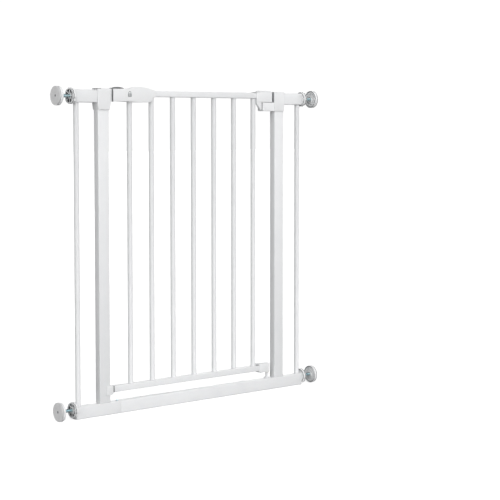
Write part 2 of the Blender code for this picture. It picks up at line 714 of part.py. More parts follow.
leaf = leaf_rails()
front_cover, rear_body = handle()
elbow = lower_hinge_elbow()
leaf += [front_cover, rear_body, elbow]
leaf += [lock_end_plate(), upper_hinge_block(), hinge_block_lid(), rail_end_cap()]
leaf += slider_spring()
for screw_name, screw_x in (("handle_screw_left", -0.2380), ("handle_screw_right", -0.1720)):
    back = facing((screw_x, HANDLE_HALF_Y, 0.7475), 1)
    leaf.append(screw_into(screw_name, rear_body, back, 0.0030, 0.0013, 0.0090))
underside = facing((0.2175, 0, 0.0470), 2, -1)
leaf.append(screw_into("elbow_screw", elbow, underside, 0.0040, 0.0018, 0.0080))
join_under("leaf_swing", (HINGE_X, 0, 0), hinge_bushes)
join_under("leaf_lift", (HINGE_X, 0, LEAF_LOW[0]), leaf)
join_under("slider_slide", (BOLT_END_X, 0, LEAF_HIGH[0]), lock_slider())
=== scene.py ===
# %% [markdown]
# # A doorway safety gate
# A pressure gate is a white steel frame that stands between two walls. A leaf with seven
# bars lifts and swings on two pins, a dark thumb slider locks it, and a threaded spindle
# with a rubber pad presses on the wall at each corner. This lesson dresses the plain
# working model: it keeps every joint and size, and gives each piece its real surface.

from math import cos, pi, radians, sin

import bmesh
import bpy
from mathutils import Matrix, Vector


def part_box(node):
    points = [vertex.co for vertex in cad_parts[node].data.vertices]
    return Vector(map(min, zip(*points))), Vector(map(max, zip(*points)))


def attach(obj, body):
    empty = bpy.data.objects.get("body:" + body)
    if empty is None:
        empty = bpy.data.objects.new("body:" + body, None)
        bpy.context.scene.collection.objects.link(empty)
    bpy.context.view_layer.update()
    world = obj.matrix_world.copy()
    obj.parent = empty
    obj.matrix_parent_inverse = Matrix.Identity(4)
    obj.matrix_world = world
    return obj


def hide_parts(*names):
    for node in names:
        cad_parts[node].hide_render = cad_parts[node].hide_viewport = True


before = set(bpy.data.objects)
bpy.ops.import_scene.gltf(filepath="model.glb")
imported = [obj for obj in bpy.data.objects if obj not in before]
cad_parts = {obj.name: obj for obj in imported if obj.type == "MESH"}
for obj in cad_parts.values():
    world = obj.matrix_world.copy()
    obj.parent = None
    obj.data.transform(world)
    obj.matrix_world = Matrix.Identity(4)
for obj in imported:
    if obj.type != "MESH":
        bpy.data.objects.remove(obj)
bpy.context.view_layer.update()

# %% [markdown]
# The camera stands to the left of the gate, a little below its top rail, and looks down
# by a few degrees. A long lens keeps the uprights nearly parallel, and a small shift
# places the gate left of the middle without turning the camera.

# %% Camera
CAMERA_AT = (-2.048, -2.676, 0.681)
YAW, PITCH, ROLL = radians(38.32), radians(3.35), radians(-0.1)
LENS_MM, SENSOR_MM = 98.0, 36.0
SHIFT_X, SHIFT_Y = 0.0706, -0.0854

bpy.ops.object.camera_add(location=CAMERA_AT)
camera = bpy.context.object
camera.rotation_mode = "XYZ"
aim = Matrix.Rotation(-YAW, 4, "Z") @ Matrix.Rotation(pi / 2 - PITCH, 4, "X")
camera.rotation_euler = (aim @ Matrix.Rotation(ROLL, 4, "Z")).to_euler()
camera.data.sensor_width = SENSOR_MM
camera.data.lens = LENS_MM
camera.data.shift_x = SHIFT_X
camera.data.shift_y = SHIFT_Y
camera.data.clip_end = 100
bpy.context.scene.camera = camera
print("camera at", CAMERA_AT)

# %% [markdown]
# White on white needs light with a direction, or the shape is lost. The sky is a soft
# gradient, bright in front and dark behind, with a wide softbox where the camera stands
# and a smaller one behind the gate. The camera itself sees plain white all round.

# %% Light and floor
LIGHT_FROM = Vector((0.17, -0.90, -0.40))
SKY_SLOPE, SKY_MIDDLE, SKY_LOWEST = 1.06, 0.79, 0.05
# Each softbox has a direction, the cosine at its edge and the strength at its middle.
SOFTBOXES = (
    (Vector((-0.62, -0.785, 0.03)), 0.222, 1.68),
    (Vector((0.50, 0.865, 0.03)), 0.70, 3.0),
)
SEEN_SKY, SEEN_FLOOR = 1.05, 0.60
BOUNCE_GREY, FLOOR_WHITE = 0.46, 0.9
FLOOR_Z, FLOOR_SIZE = -0.0005, 60


def dot_with(tree, place, direction):
    product = tree.nodes.new("ShaderNodeVectorMath")
    product.operation = "DOT_PRODUCT"
    product.inputs[1].default_value = direction
    tree.links.new(place.outputs["Generated"], product.inputs[0])
    return product.outputs["Value"]


def softbox(tree, place, towards, edge, strength):
    """A soft patch of light in one direction, from its edge (a cosine) to its middle."""
    patch = tree.nodes.new("ShaderNodeMapRange")
    patch.interpolation_type = "SMOOTHSTEP"
    patch.inputs["From Min"].default_value = edge
    patch.inputs["From Max"].default_value = 1.0
    patch.inputs["To Max"].default_value = strength
    tree.links.new(dot_with(tree, place, towards), patch.inputs["Value"])
    return patch.outputs["Result"]


def studio_sky():
    world = bpy.data.worlds.new("studio_sky")
    bpy.context.scene.world = world
    world.use_nodes = True
    tree = world.node_tree
    tree.nodes.clear()
    place = tree.nodes.new("ShaderNodeTexCoord")
    slope = tree.nodes.new("ShaderNodeMath")
    slope.operation = "MULTIPLY_ADD"
    slope.inputs[1].default_value = SKY_SLOPE
    slope.inputs[2].default_value = SKY_MIDDLE
    tree.links.new(dot_with(tree, place, LIGHT_FROM), slope.inputs[0])
    level = tree.nodes.new("ShaderNodeMath")
    level.operation = "MAXIMUM"
    level.inputs[1].default_value = SKY_LOWEST
    tree.links.new(slope.outputs[0], level.inputs[0])
    for box in SOFTBOXES:
        total = tree.nodes.new("ShaderNodeMath")
        tree.links.new(level.outputs[0], total.inputs[0])
        tree.links.new(softbox(tree, place, *box), total.inputs[1])
        level = total
    light = tree.nodes.new("ShaderNodeBackground")
    tree.links.new(level.outputs[0], light.inputs["Strength"])
    backdrop = tree.nodes.new("ShaderNodeBackground")
    backdrop.inputs["Color"].default_value = (1, 1, 1, 1)
    backdrop.inputs["Strength"].default_value = SEEN_SKY
    ray = tree.nodes.new("ShaderNodeLightPath")
    mix = tree.nodes.new("ShaderNodeMixShader")
    tree.links.new(ray.outputs["Is Camera Ray"], mix.inputs[0])
    tree.links.new(light.outputs[0], mix.inputs[1])
    tree.links.new(backdrop.outputs[0], mix.inputs[2])
    out = tree.nodes.new("ShaderNodeOutputWorld")
    tree.links.new(mix.outputs[0], out.inputs["Surface"])


def studio_floor():
    bpy.ops.mesh.primitive_plane_add(size=FLOOR_SIZE, location=(0, 0, FLOOR_Z))
    floor = bpy.context.object
    floor.name = "studio_floor"
    paint = bpy.data.materials.new("pale_floor")
    paint.use_nodes = True
    tree = paint.node_tree
    shader = tree.nodes["Principled BSDF"]
    shader.inputs["Roughness"].default_value = 1.0
    shader.inputs["Specular IOR Level"].default_value = 0.0
    shader.inputs["Emission Color"].default_value = (1, 1, 1, 1)
    ray = tree.nodes.new("ShaderNodeLightPath")
    seen = tree.nodes.new("ShaderNodeMath")
    seen.operation = "MULTIPLY"
    seen.inputs[1].default_value = SEEN_FLOOR
    tree.links.new(ray.outputs["Is Camera Ray"], seen.inputs[0])
    tree.links.new(seen.outputs[0], shader.inputs["Emission Strength"])
    tone = tree.nodes.new("ShaderNodeMix")
    tone.data_type = "RGBA"
    tone.inputs["A"].default_value = (BOUNCE_GREY, BOUNCE_GREY, BOUNCE_GREY, 1)
    tone.inputs["B"].default_value = (FLOOR_WHITE, FLOOR_WHITE, FLOOR_WHITE, 1)
    tree.links.new(ray.outputs["Is Camera Ray"], tone.inputs["Factor"])
    tree.links.new(tone.outputs["Result"], shader.inputs["Base Color"])
    floor.data.materials.append(paint)


studio_sky()
studio_floor()
bpy.context.scene.view_settings.view_transform = "Standard"
print("sky and floor are set, with", len(SOFTBOXES), "softboxes")

# %% [markdown]
# Two surface effects are shared. Grain is the fine skin of a moulding or of rubber, with a
# broad swell under it like the ripple of dried powder paint; wear is a soft change of tone
# from handling. Each is a node group, so every finish can set its own scale.

# %% Shared surface effects
def effect_group(name, inputs, outputs):
    """An empty node group with named number inputs and named outputs."""
    group = bpy.data.node_groups.new(name, "ShaderNodeTree")
    for title, value in inputs.items():
        socket = group.interface.new_socket(title, in_out="INPUT", socket_type="NodeSocketFloat")
        socket.default_value = value
    for title, kind in outputs.items():
        group.interface.new_socket(title, in_out="OUTPUT", socket_type=kind)
    start = group.nodes.new("NodeGroupInput")
    end = group.nodes.new("NodeGroupOutput")
    place = group.nodes.new("ShaderNodeTexCoord")
    return group, start, end, place


def noise(tree, place, detail=2.0, roughness=0.5):
    """A noise texture over the piece's own metres."""
    texture = tree.nodes.new("ShaderNodeTexNoise")
    texture.inputs["Detail"].default_value = detail
    texture.inputs["Roughness"].default_value = roughness
    tree.links.new(place.outputs["Object"], texture.inputs["Vector"])
    return texture


def mapped(tree, value, low, high):
    """A 0 to 1 value moved to the range low to high."""
    change = tree.nodes.new("ShaderNodeMapRange")
    tree.links.new(value, change.inputs["Value"])
    for title, end in (("To Min", low), ("To Max", high)):
        if isinstance(end, (int, float)):
            change.inputs[title].default_value = end
        else:
            tree.links.new(end, change.inputs[title])
    return change.outputs["Result"]


def fine_grain():
    """Height for a fine skin: a sharp grain with a broader swell under it."""
    group, start, end, place = effect_group(
        "fine_grain", {"Scale": 1800.0, "Swell": 0.3}, {"Height": "NodeSocketFloat"}
    )
    grain = noise(group, place, 3.0, 0.6)
    group.links.new(start.outputs["Scale"], grain.inputs["Scale"])
    broad = noise(group, place, 1.0)
    broad.inputs["Scale"].default_value = 140.0
    total = group.nodes.new("ShaderNodeMath")
    total.operation = "MULTIPLY_ADD"
    group.links.new(broad.outputs["Fac"], total.inputs[0])
    group.links.new(start.outputs["Swell"], total.inputs[1])
    group.links.new(grain.outputs["Fac"], total.inputs[2])
    group.links.new(total.outputs[0], end.inputs["Height"])
    return group


def handled_wear():
    """A tint mask and a roughness that drift as touched plastic and paint do."""
    group, start, end, place = effect_group(
        "handled_wear", {"Scale": 22.0, "Low": 0.35, "High": 0.5},
        {"Mask": "NodeSocketFloat", "Roughness": "NodeSocketFloat"},
    )
    drift = noise(group, place, 4.0, 0.55)
    group.links.new(start.outputs["Scale"], drift.inputs["Scale"])
    specks = noise(group, place, 2.0, 0.7)
    specks.inputs["Scale"].default_value = 420.0
    both = group.nodes.new("ShaderNodeMath")
    both.operation = "MULTIPLY_ADD"
    both.inputs[1].default_value = 0.25
    group.links.new(specks.outputs["Fac"], both.inputs[0])
    group.links.new(drift.outputs["Fac"], both.inputs[2])
    mask = group.nodes.new("ShaderNodeMapRange")
    mask.inputs["From Min"].default_value = 0.42
    mask.inputs["From Max"].default_value = 0.82
    group.links.new(both.outputs[0], mask.inputs["Value"])
    group.links.new(mask.outputs["Result"], end.inputs["Mask"])
    rough = mapped(group, mask.outputs["Result"], start.outputs["Low"], start.outputs["High"])
    group.links.new(rough, end.inputs["Roughness"])
    return group


GRAIN = fine_grain()
WEAR = handled_wear()
print("effects:", GRAIN.name, WEAR.name)

# %% [markdown]
# A finish is a Principled shader with the shared effects around it. The tint mask mixes
# two near colours, the roughness drifts with it, and the grain goes through a Bump node.

# %% Finishes
def place_group(tree, group, **values):
    """One use of a shared effect, with its own values."""
    made = tree.nodes.new("ShaderNodeGroup")
    made.node_tree = group
    for title, value in values.items():
        made.inputs[title].default_value = value
    return made


def finish_of(name, colours, rough, grain, bump, metallic=0.0, wear_scale=22.0):
    """Two near colours, a roughness range, a grain (scale, swell) and a bump (strength, depth)."""
    made = bpy.data.materials.new(name)
    made.use_nodes = True
    tree = made.node_tree
    shader = tree.nodes["Principled BSDF"]
    shader.inputs["Metallic"].default_value = metallic
    wear = place_group(tree, WEAR, Scale=wear_scale, Low=rough[0], High=rough[1])
    tint = tree.nodes.new("ShaderNodeMix")
    tint.data_type = "RGBA"
    tint.inputs["A"].default_value = (*colours[0], 1)
    tint.inputs["B"].default_value = (*colours[1], 1)
    tree.links.new(wear.outputs["Mask"], tint.inputs["Factor"])
    tree.links.new(tint.outputs["Result"], shader.inputs["Base Color"])
    tree.links.new(wear.outputs["Roughness"], shader.inputs["Roughness"])
    skin = place_group(tree, GRAIN, Scale=grain[0], Swell=grain[1])
    relief = tree.nodes.new("ShaderNodeBump")
    relief.inputs["Strength"].default_value = bump[0]
    relief.inputs["Distance"].default_value = bump[1]
    tree.links.new(skin.outputs["Height"], relief.inputs["Height"])
    tree.links.new(relief.outputs["Normal"], shader.inputs["Normal"])
    return made


POWDER_COAT = finish_of(
    "powder_coat", ((0.800, 0.806, 0.814), (0.770, 0.777, 0.787)),
    rough=(0.34, 0.46), grain=(620.0, 0.8), bump=(0.22, 0.0004),
)
MOULDED_WHITE = finish_of(
    "moulded_white", ((0.808, 0.813, 0.819), (0.782, 0.788, 0.796)),
    rough=(0.36, 0.50), grain=(2400.0, 0.25), bump=(0.16, 0.0002),
)
# dark grey for the real dark mouldings, and also painted shade: the nut's pocket cup and back
# ring, the pad's centre plug, the rails' end strips
DARK_GREY = finish_of(
    "dark_grey_moulding_and_painted_shade", ((0.105, 0.110, 0.116), (0.150, 0.155, 0.160)),
    rough=(0.42, 0.58), grain=(2600.0, 0.2), bump=(0.25, 0.0002),
)
RUBBER = finish_of(
    "pad_rubber", ((0.72, 0.72, 0.725), (0.78, 0.78, 0.785)),
    rough=(0.72, 0.88), grain=(1500.0, 0.5), bump=(0.30, 0.0003), wear_scale=90.0,
)
ZINC = finish_of(
    "blue_zinc_plating", ((0.48, 0.66, 0.72), (0.66, 0.78, 0.80)),
    rough=(0.16, 0.30), grain=(900.0, 0.4), bump=(0.10, 0.0002), metallic=1.0, wear_scale=120.0,
)
NYLON = finish_of(
    "bearing_nylon", ((0.74, 0.74, 0.70), (0.68, 0.68, 0.64)),
    rough=(0.40, 0.55), grain=(2200.0, 0.3), bump=(0.15, 0.0002),
)
# grey for the printed padlock, and also painted shade: the ring in the cup's groove and the strip
# on the bracket's inner face
PRINT_AND_SHADE_GREY = finish_of(
    "print_and_painted_shade_grey", ((0.30, 0.31, 0.32), (0.36, 0.37, 0.38)),
    rough=(0.45, 0.55), grain=(2400.0, 0.2), bump=(0.1, 0.0001),
)
SLOT_OF = {
    POWDER_COAT: "white_powder_coat", MOULDED_WHITE: "white_plastic",
    DARK_GREY: "dark_grey_plastic", PRINT_AND_SHADE_GREY: "dark_grey_plastic", RUBBER: "grey_rubber",
    ZINC: "zinc_plated_steel", NYLON: "natural_nylon",
}
print("finishes:", ", ".join(made.name for made in SLOT_OF))

# %% [markdown]
# These helpers do by name what a modeller does by hand: pick a piece, select some of its
# faces or edges by where they are, run one operator, and leave edit mode.

# %% Modelling helpers
WELD = 0.000004  # points closer than this become one
SMOOTH_BELOW = radians(35)


def only(piece):
    """Makes a piece the one that operators act on."""
    if bpy.context.mode != "OBJECT":
        bpy.ops.object.mode_set(mode="OBJECT")
    bpy.ops.object.select_all(action="DESELECT")
    piece.select_set(True)
    bpy.context.view_layer.objects.active = piece


def pick(piece, kind, wanted):
    """Enters edit mode with just the wanted vertices, edges or faces selected."""
    only(piece)
    bpy.ops.object.mode_set(mode="EDIT")
    bpy.ops.mesh.select_mode(type=kind)
    bpy.ops.mesh.select_all(action="DESELECT")
    shape = bmesh.from_edit_mesh(piece.data)
    for item in {"VERT": shape.verts, "EDGE": shape.edges, "FACE": shape.faces}[kind]:
        if wanted(item):
            item.select = True
    shape.select_flush_mode()
    bmesh.update_edit_mesh(piece.data)


def leave():
    bpy.ops.object.mode_set(mode="OBJECT")


def settle(piece):
    """Puts a piece's place, turn and scale into its mesh."""
    only(piece)
    bpy.ops.object.transform_apply(location=True, rotation=True, scale=True)
    return piece


def runs_along(axis):
    """A test for edges that run along one axis."""
    return lambda edge: abs((edge.verts[1].co - edge.verts[0].co).normalized()[axis]) > 0.999


def block(name, low, high):
    """A box from its lowest to its highest corner."""
    low, high = Vector(low), Vector(high)
    bpy.ops.mesh.primitive_cube_add(size=1, location=(low + high) / 2)
    piece = bpy.context.object
    piece.name = name
    piece.scale = high - low
    return settle(piece)


def soften(piece, width, segments=3, angle=42):
    """A Bevel modifier on every sharp edge, applied."""
    only(piece)
    bevel = piece.modifiers.new("soft_edges", "BEVEL")
    bevel.width = width
    bevel.segments = segments
    bevel.limit_method = "ANGLE"
    bevel.angle_limit = radians(angle)
    bpy.ops.object.modifier_apply(modifier=bevel.name)
    return piece


def cut_away(piece, tool, operation="DIFFERENCE"):
    """An applied Boolean; the tool is used up."""
    only(piece)
    cut = piece.modifiers.new("cut", "BOOLEAN")
    cut.operation = operation
    cut.solver = "EXACT"
    cut.object = tool
    bpy.ops.object.modifier_apply(modifier=cut.name)
    bpy.data.objects.remove(tool)
    return piece


def cylinder(name, start, end, radius, axis, sides=48):
    """A round rod between two points that lie along one axis."""
    start, end = Vector(start), Vector(end)
    turn = {0: (0, pi / 2, 0), 1: (-pi / 2, 0, 0), 2: (0, 0, 0)}[axis]
    bpy.ops.mesh.primitive_cylinder_add(
        vertices=sides, radius=radius, depth=(end - start).length,
        location=(start + end) / 2, rotation=turn,
    )
    piece = bpy.context.object
    piece.name = name
    return settle(piece)


def drill(piece, x, low_z, high_z, radius):
    """An upright round hole in the gate's middle plane."""
    return cut_away(piece, cylinder("drill", (x, 0, low_z), (x, 0, high_z), radius, 2))


def axis_of(node):
    """The X of an upright round piece's axis, and its radius."""
    low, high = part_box(node)
    return (low.x + high.x) / 2, (high.x - low.x) / 2


def one_point(name, point):
    """A mesh of one point, left in edit mode so that it can be extruded."""
    bpy.ops.mesh.primitive_plane_add(size=0.001, location=(0, 0, 0))
    piece = bpy.context.object
    piece.name = name
    bpy.ops.object.mode_set(mode="EDIT")
    bpy.ops.mesh.select_mode(type="VERT")
    bpy.ops.mesh.select_all(action="SELECT")
    bpy.ops.mesh.merge(type="CENTER")
    bpy.ops.transform.translate(value=point)
    return piece


def lathe(name, profile, steps=64, ring=False):
    """A (radius, height) profile drawn by extruding one point along, then spun about Z.

    A ring's profile doesn't reach the axis, so its last point is joined to its first.
    """
    here = Vector((profile[0][0], 0, profile[0][1]))
    piece = one_point(name, here)
    for r, z in profile[1:]:
        there = Vector((r, 0, z))
        bpy.ops.mesh.extrude_region_move(TRANSFORM_OT_translate={"value": there - here})
        here = there
    bpy.ops.mesh.select_all(action="SELECT")
    if ring:
        leave()
        pick(piece, "VERT", lambda v: len(v.link_edges) == 1)
        bpy.ops.mesh.edge_face_add()
        bpy.ops.mesh.select_all(action="SELECT")
    bpy.ops.mesh.spin(steps=steps, angle=2 * pi, center=(0, 0, 0), axis=(0, 0, 1))
    bpy.ops.mesh.select_all(action="SELECT")
    bpy.ops.mesh.remove_doubles(threshold=WELD)
    bpy.ops.mesh.normals_make_consistent(inside=False)
    leave()
    return piece


def stand_at(piece, point, axis, sign=1):
    """Moves a lathe piece so that its Z runs along an axis from a point."""
    over = 0 if sign > 0 else pi
    turns = {0: (0, sign * pi / 2, 0), 1: (-sign * pi / 2, 0, 0), 2: (over, 0, 0)}
    piece.location = point
    piece.rotation_euler = turns[axis]
    return settle(piece)


def outline(name, points, front, back):
    """A closed outline of (x, z) points, drawn as a curve and given thickness along Y."""
    bpy.ops.curve.primitive_bezier_circle_add(location=(0, 0, 0))
    drawn = bpy.context.object
    drawn.data.splines.remove(drawn.data.splines[0])
    line = drawn.data.splines.new("POLY")
    line.use_cyclic_u = True
    line.points.add(len(points) - 1)
    for knot, (x, z) in zip(line.points, points):
        knot.co = (x, z, 0, 1)
    drawn.data.dimensions = "2D"
    drawn.data.fill_mode = "BOTH"
    drawn.data.extrude = (back - front) / 2
    only(drawn)
    bpy.ops.object.convert(target="MESH")
    piece = bpy.context.object
    piece.name = name
    piece.rotation_euler = (pi / 2, 0, 0)
    piece.location = (0, (front + back) / 2, 0)
    settle(piece)
    pick(piece, "VERT", lambda v: True)
    bpy.ops.mesh.remove_doubles(threshold=WELD)
    bpy.ops.mesh.dissolve_limited(angle_limit=radians(0.5))
    bpy.ops.mesh.normals_make_consistent(inside=False)
    leave()
    return piece


def dress(piece, body, finish, *stands_for):
    """The last step for a piece: finish, smooth shading, body and the node it stands for."""
    only(piece)
    bpy.ops.object.shade_smooth_by_angle(angle=SMOOTH_BELOW)
    piece.data.materials.clear()
    piece.data.materials.append(finish)
    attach(piece, body)
    if stands_for:
        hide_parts(*stands_for)
    return piece


def copy_of(piece, name):
    """A copy with its own mesh."""
    twin = piece.copy()
    twin.data = piece.data.copy()
    twin.name = name
    bpy.context.scene.collection.objects.link(twin)
    return twin


bpy.ops.object.select_all(action="DESELECT")
print("helpers ready")

# %% [markdown]
# The frame and the leaf's rails are rectangular steel tube, rolled with small round
# corners and cut square. A box gets its long edges bevelled, its two end faces deleted and
# a wall from Solidify; a fine bevel then breaks the sawn rims, so a butt joint shows a line.

# %% Rectangular tubes
FRAME_WALL, FRAME_CORNER = 0.0012, 0.0022
LEAF_WALL, LEAF_CORNER = 0.0010, 0.0015
SAWN_EDGE = 0.00025
BASE_TOP_Z, PIN_HOLE_R = 0.030, 0.0026  # the top of the gate's bottom rail, and its pin hole
SLOT_X, SLOT_HALF = (-0.2342, -0.2110), 0.0030  # the slider's slot in the top rail
PLUG_OUT = 0.0108  # how far the end plug stands out of the leaf's bottom rail


def square_tube(node, axis, wall, corner, low_end=None):
    low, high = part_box(node)
    if low_end is not None:
        low[axis] = low_end
    piece = block(node + "_tube", low, high)
    pick(piece, "EDGE", runs_along(axis))
    bpy.ops.mesh.bevel(offset=corner, segments=5, profile=0.5, affect="EDGES")
    pick(piece, "FACE", lambda face: abs(face.normal[axis]) > 0.99)
    bpy.ops.mesh.delete(type="ONLY_FACE")
    leave()
    shell = piece.modifiers.new("wall", "SOLIDIFY")
    shell.thickness = wall
    shell.offset = -1
    only(piece)
    bpy.ops.object.modifier_apply(modifier=shell.name)
    return soften(piece, SAWN_EDGE, 2, 60)


FRAME_TUBES = {
    "bottom_rail_left": 0, "bottom_rail": 0, "top_stub_left": 0, "top_stub_right": 0,
    "left_post": 2, "right_post": 2,
}
for node, axis in FRAME_TUBES.items():
    tube = square_tube(node, axis, FRAME_WALL, FRAME_CORNER)
    if node == "bottom_rail_left":
        pin_x, _ = axis_of("rail_joiner_pin")
        drill(tube, pin_x, BASE_TOP_Z - 0.005, BASE_TOP_Z + 0.005, PIN_HOLE_R)
    dress(tube, "frame", POWDER_COAT, node)
END_GAP_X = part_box("rail_end_cap")[0].x + PLUG_OUT
top_rail = square_tube("leaf_top_rail", 0, LEAF_WALL, LEAF_CORNER)
slot = block("slider_slot", (SLOT_X[0], -SLOT_HALF, 0.7600), (SLOT_X[1], SLOT_HALF, 0.7750))
cut_away(top_rail, slot)
dress(top_rail, "leaf", POWDER_COAT, "leaf_top_rail")
low_rail = square_tube("leaf_bottom_rail", 0, LEAF_WALL, LEAF_CORNER, END_GAP_X)
dress(low_rail, "leaf", POWDER_COAT, "leaf_bottom_rail")
print("tubes:", len(FRAME_TUBES) + 2)

# %% [markdown]
# The uprights are round tube, welded to the rails top and bottom before painting. One
# profile, spun about its own axis, gives the tube and a slim weld fillet at each end.

# %% Round uprights
BAR_WALL, FILLET = 0.0009, 0.0009
SINK = 0.0002  # how far each end is let into its rail
BARS = 7


def upright(node, body):
    low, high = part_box(node)
    x, r = axis_of(node)
    length, bore = high.z - low.z + 2 * SINK, r - BAR_WALL
    angles = (0, pi / 6, pi / 3, pi / 2)
    low_end = [(r + FILLET * (1 - sin(a)), FILLET * (1 - cos(a))) for a in angles]
    high_end = [(radius, length - height) for radius, height in reversed(low_end)]
    profile = [(bore, 0), *low_end, *high_end, (bore, length)]
    piece = lathe(node + "_welded", profile, 40, ring=True)
    stand_at(piece, (x, 0, low.z - SINK), 2)
    return dress(piece, body, POWDER_COAT, node)


for count in range(BARS):
    upright(f"leaf_bar_{count + 1}", "leaf")
for side in ("left", "right"):
    upright(f"side_bar_{side}", "frame")
print("uprights:", BARS + 2)

# %% [markdown]
# Each corner presses on the wall through an M8 spindle. The thread is real: one tooth of
# the profile is wound up the shaft by the Screw modifier, then two cuts with a fill make
# its ends flat. The cut thread is modelled once and copied to the four corners.

# %% Threaded spindle
THREAD_PITCH, CREST, ROOT = 0.00125, 0.0040, 0.00338
FLAT, FLANK = 0.12, 0.38  # parts of the pitch
THREAD_STEPS, THREAD_WELD = 20, 0.00002
CORNERS = [f"{level}_{side}" for level in ("bottom", "top") for side in ("left", "right")]


def threaded_rod(length):
    rod = one_point("threaded_spindle", (ROOT, 0, -2 * THREAD_PITCH))
    for run, rise in ((0, FLAT), (CREST - ROOT, FLANK), (0, FLAT), (ROOT - CREST, FLANK)):
        step = (run, 0, rise * THREAD_PITCH)
        bpy.ops.mesh.extrude_region_move(TRANSFORM_OT_translate={"value": step})
    leave()
    wind = rod.modifiers.new("wind", "SCREW")
    wind.steps = wind.render_steps = THREAD_STEPS
    wind.screw_offset = THREAD_PITCH
    wind.iterations = int(length / THREAD_PITCH) + 4
    wind.use_merge_vertices = True
    wind.merge_threshold = THREAD_WELD
    only(rod)
    bpy.ops.object.modifier_apply(modifier=wind.name)
    pick(rod, "VERT", lambda v: True)
    bpy.ops.mesh.remove_doubles(threshold=THREAD_WELD)
    for height, side in ((0, "clear_inner"), (length, "clear_outer")):
        bpy.ops.mesh.bisect(
            plane_co=(0, 0, height), plane_no=(0, 0, 1), use_fill=True, **{side: True}
        )
        bpy.ops.mesh.select_all(action="SELECT")
    bpy.ops.mesh.remove_doubles(threshold=THREAD_WELD)
    bpy.ops.mesh.fill_holes(sides=0)
    bpy.ops.mesh.normals_make_consistent(inside=False)
    leave()
    return rod


def corner_place(name, corner):
    """Where a corner's piece starts, and the way it faces, from its CAD node."""
    low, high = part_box(f"{name}_{corner}")
    sign = -1 if corner.endswith("left") else 1
    start = high.x if sign < 0 else low.x
    return (start, 0, (low.z + high.z) / 2), sign, high.x - low.x


def at_corners(model, name, body, finish, *stands_for):
    """Copies a model that faces +Z to the four corners, and drops the model."""
    for corner in CORNERS:
        place, sign, _ = corner_place(name, corner)
        twin = stand_at(copy_of(model, f"{model.name}_{corner}"), place, 0, sign)
        dress(twin, f"{body}_{corner}", finish, *(f"{node}_{corner}" for node in stands_for))
    bpy.data.objects.remove(model)


_, _, rod_length = corner_place("spindle", "top_left")
thread = threaded_rod(rod_length)
print("thread:", len(thread.data.polygons), "faces,", round(rod_length * 1000, 1), "mm")
at_corners(thread, "spindle", "spindle", ZINC, "spindle")

# %% [markdown]
# The hand nut has eight finger scallops. A white shell and a white spoked face clamp
# together. A dark cup between them is painted shade, so the pockets between the spokes look
# dark, and a dark ring on the back is a painted shadow gap against the tube's plug. All are
# turned, and one slim box is copied around for the spokes.

# %% Adjusting nut
NUT_R, NUT_THICK, NUT_STEPS = 0.0190, 0.0082, 96
LOBES, SCALLOP_R, SCALLOP_DEPTH = 8, 0.0060, 0.0013


def scallop(piece, rim):
    """Cuts the finger scallops from a turned rim."""
    reach = rim - SCALLOP_DEPTH + SCALLOP_R
    for k in range(LOBES):
        turn = 2 * pi * (k + 0.5) / LOBES
        x, y = reach * cos(turn), reach * sin(turn)
        cut_away(piece, cylinder("bite", (x, y, -0.01), (x, y, 0.02), SCALLOP_R, 2, 44))
    return piece


def nut_shell():
    bore, back, hub = 0.0043, 0.0050, 0.0056
    shell = lathe("nut_shell", [
        (bore, hub), (0.0066, hub), (0.0070, hub - 0.0004), (0.0074, 0.0018), (0.0156, 0.0018),
        (0.0159, back), (NUT_R - 0.0004, back), (NUT_R, back - 0.0004), (NUT_R, 0.0006),
        (NUT_R - 0.0006, 0), (0.0173, 0), (0.0173, 0.0010), (0.0153, 0.0010), (0.0153, 0),
        (bore, 0),
    ], NUT_STEPS, ring=True)
    return scallop(shell, NUT_R)


def nut_rim():
    low, spoke_low, spoke_high = 0.0070, 0.0058, NUT_THICK - 0.0008
    rim = lathe("nut_rim", [
        (0.0152, NUT_THICK - 0.0003), (0.0156, NUT_THICK), (NUT_R - 0.0005, NUT_THICK),
        (NUT_R, NUT_THICK - 0.0005), (NUT_R, low), (0.0152, low),
    ], NUT_STEPS, ring=True)
    scallop(rim, NUT_R)
    spoke = block("nut_spoke", (0.0066, -0.00075, spoke_low), (0.0154, 0.00075, spoke_high))
    soften(spoke, 0.0002, 2)
    for k in range(LOBES):
        twin = copy_of(spoke, f"nut_spoke_{k}")
        twin.rotation_euler = (0, 0, 2 * pi * k / LOBES)
        cut_away(rim, settle(twin), "UNION")
    bpy.data.objects.remove(spoke)
    hub = lathe("nut_hub", [
        (0.0047, spoke_high - 0.0002), (0.0049, spoke_high + 0.0002),
        (0.0074, spoke_high + 0.0002), (0.0076, spoke_high), (0.0076, spoke_low - 0.0001),
        (0.0047, spoke_low - 0.0001),
    ], 64, ring=True)
    return cut_away(rim, hub, "UNION")


def nut_pocket_shade():
    # painted shade: a dark cup under the spokes makes the pockets look dark, in place of their
    # shade
    pocket_shade_r = NUT_R - 0.0003
    pocket_shade_cup = lathe("nut_pocket_shade", [
        (0.0078, 0.0021), (0.0153, 0.0021), (0.0154, 0.0051), (pocket_shade_r, 0.0051),
        (pocket_shade_r, 0.0069), (0.0149, 0.0069), (0.0147, 0.0028), (0.0078, 0.0028),
    ], NUT_STEPS, ring=True)
    return scallop(pocket_shade_cup, pocket_shade_r)


def nut_shadow_ring():
    """A dark ring on the face that bears on the tube's plug: painted shade for the shadow gap
    between the nut and the plug.
    """
    # painted shadow: a dark ring where the gap between nut and plug would fall in shade
    high, low, outer, inner = 0.0009, 0.0001, 0.0172, 0.0154
    profile = [(inner, high), (outer, high), (outer, low), (inner, low)]
    return lathe("nut_shadow_ring", profile, NUT_STEPS, ring=True)


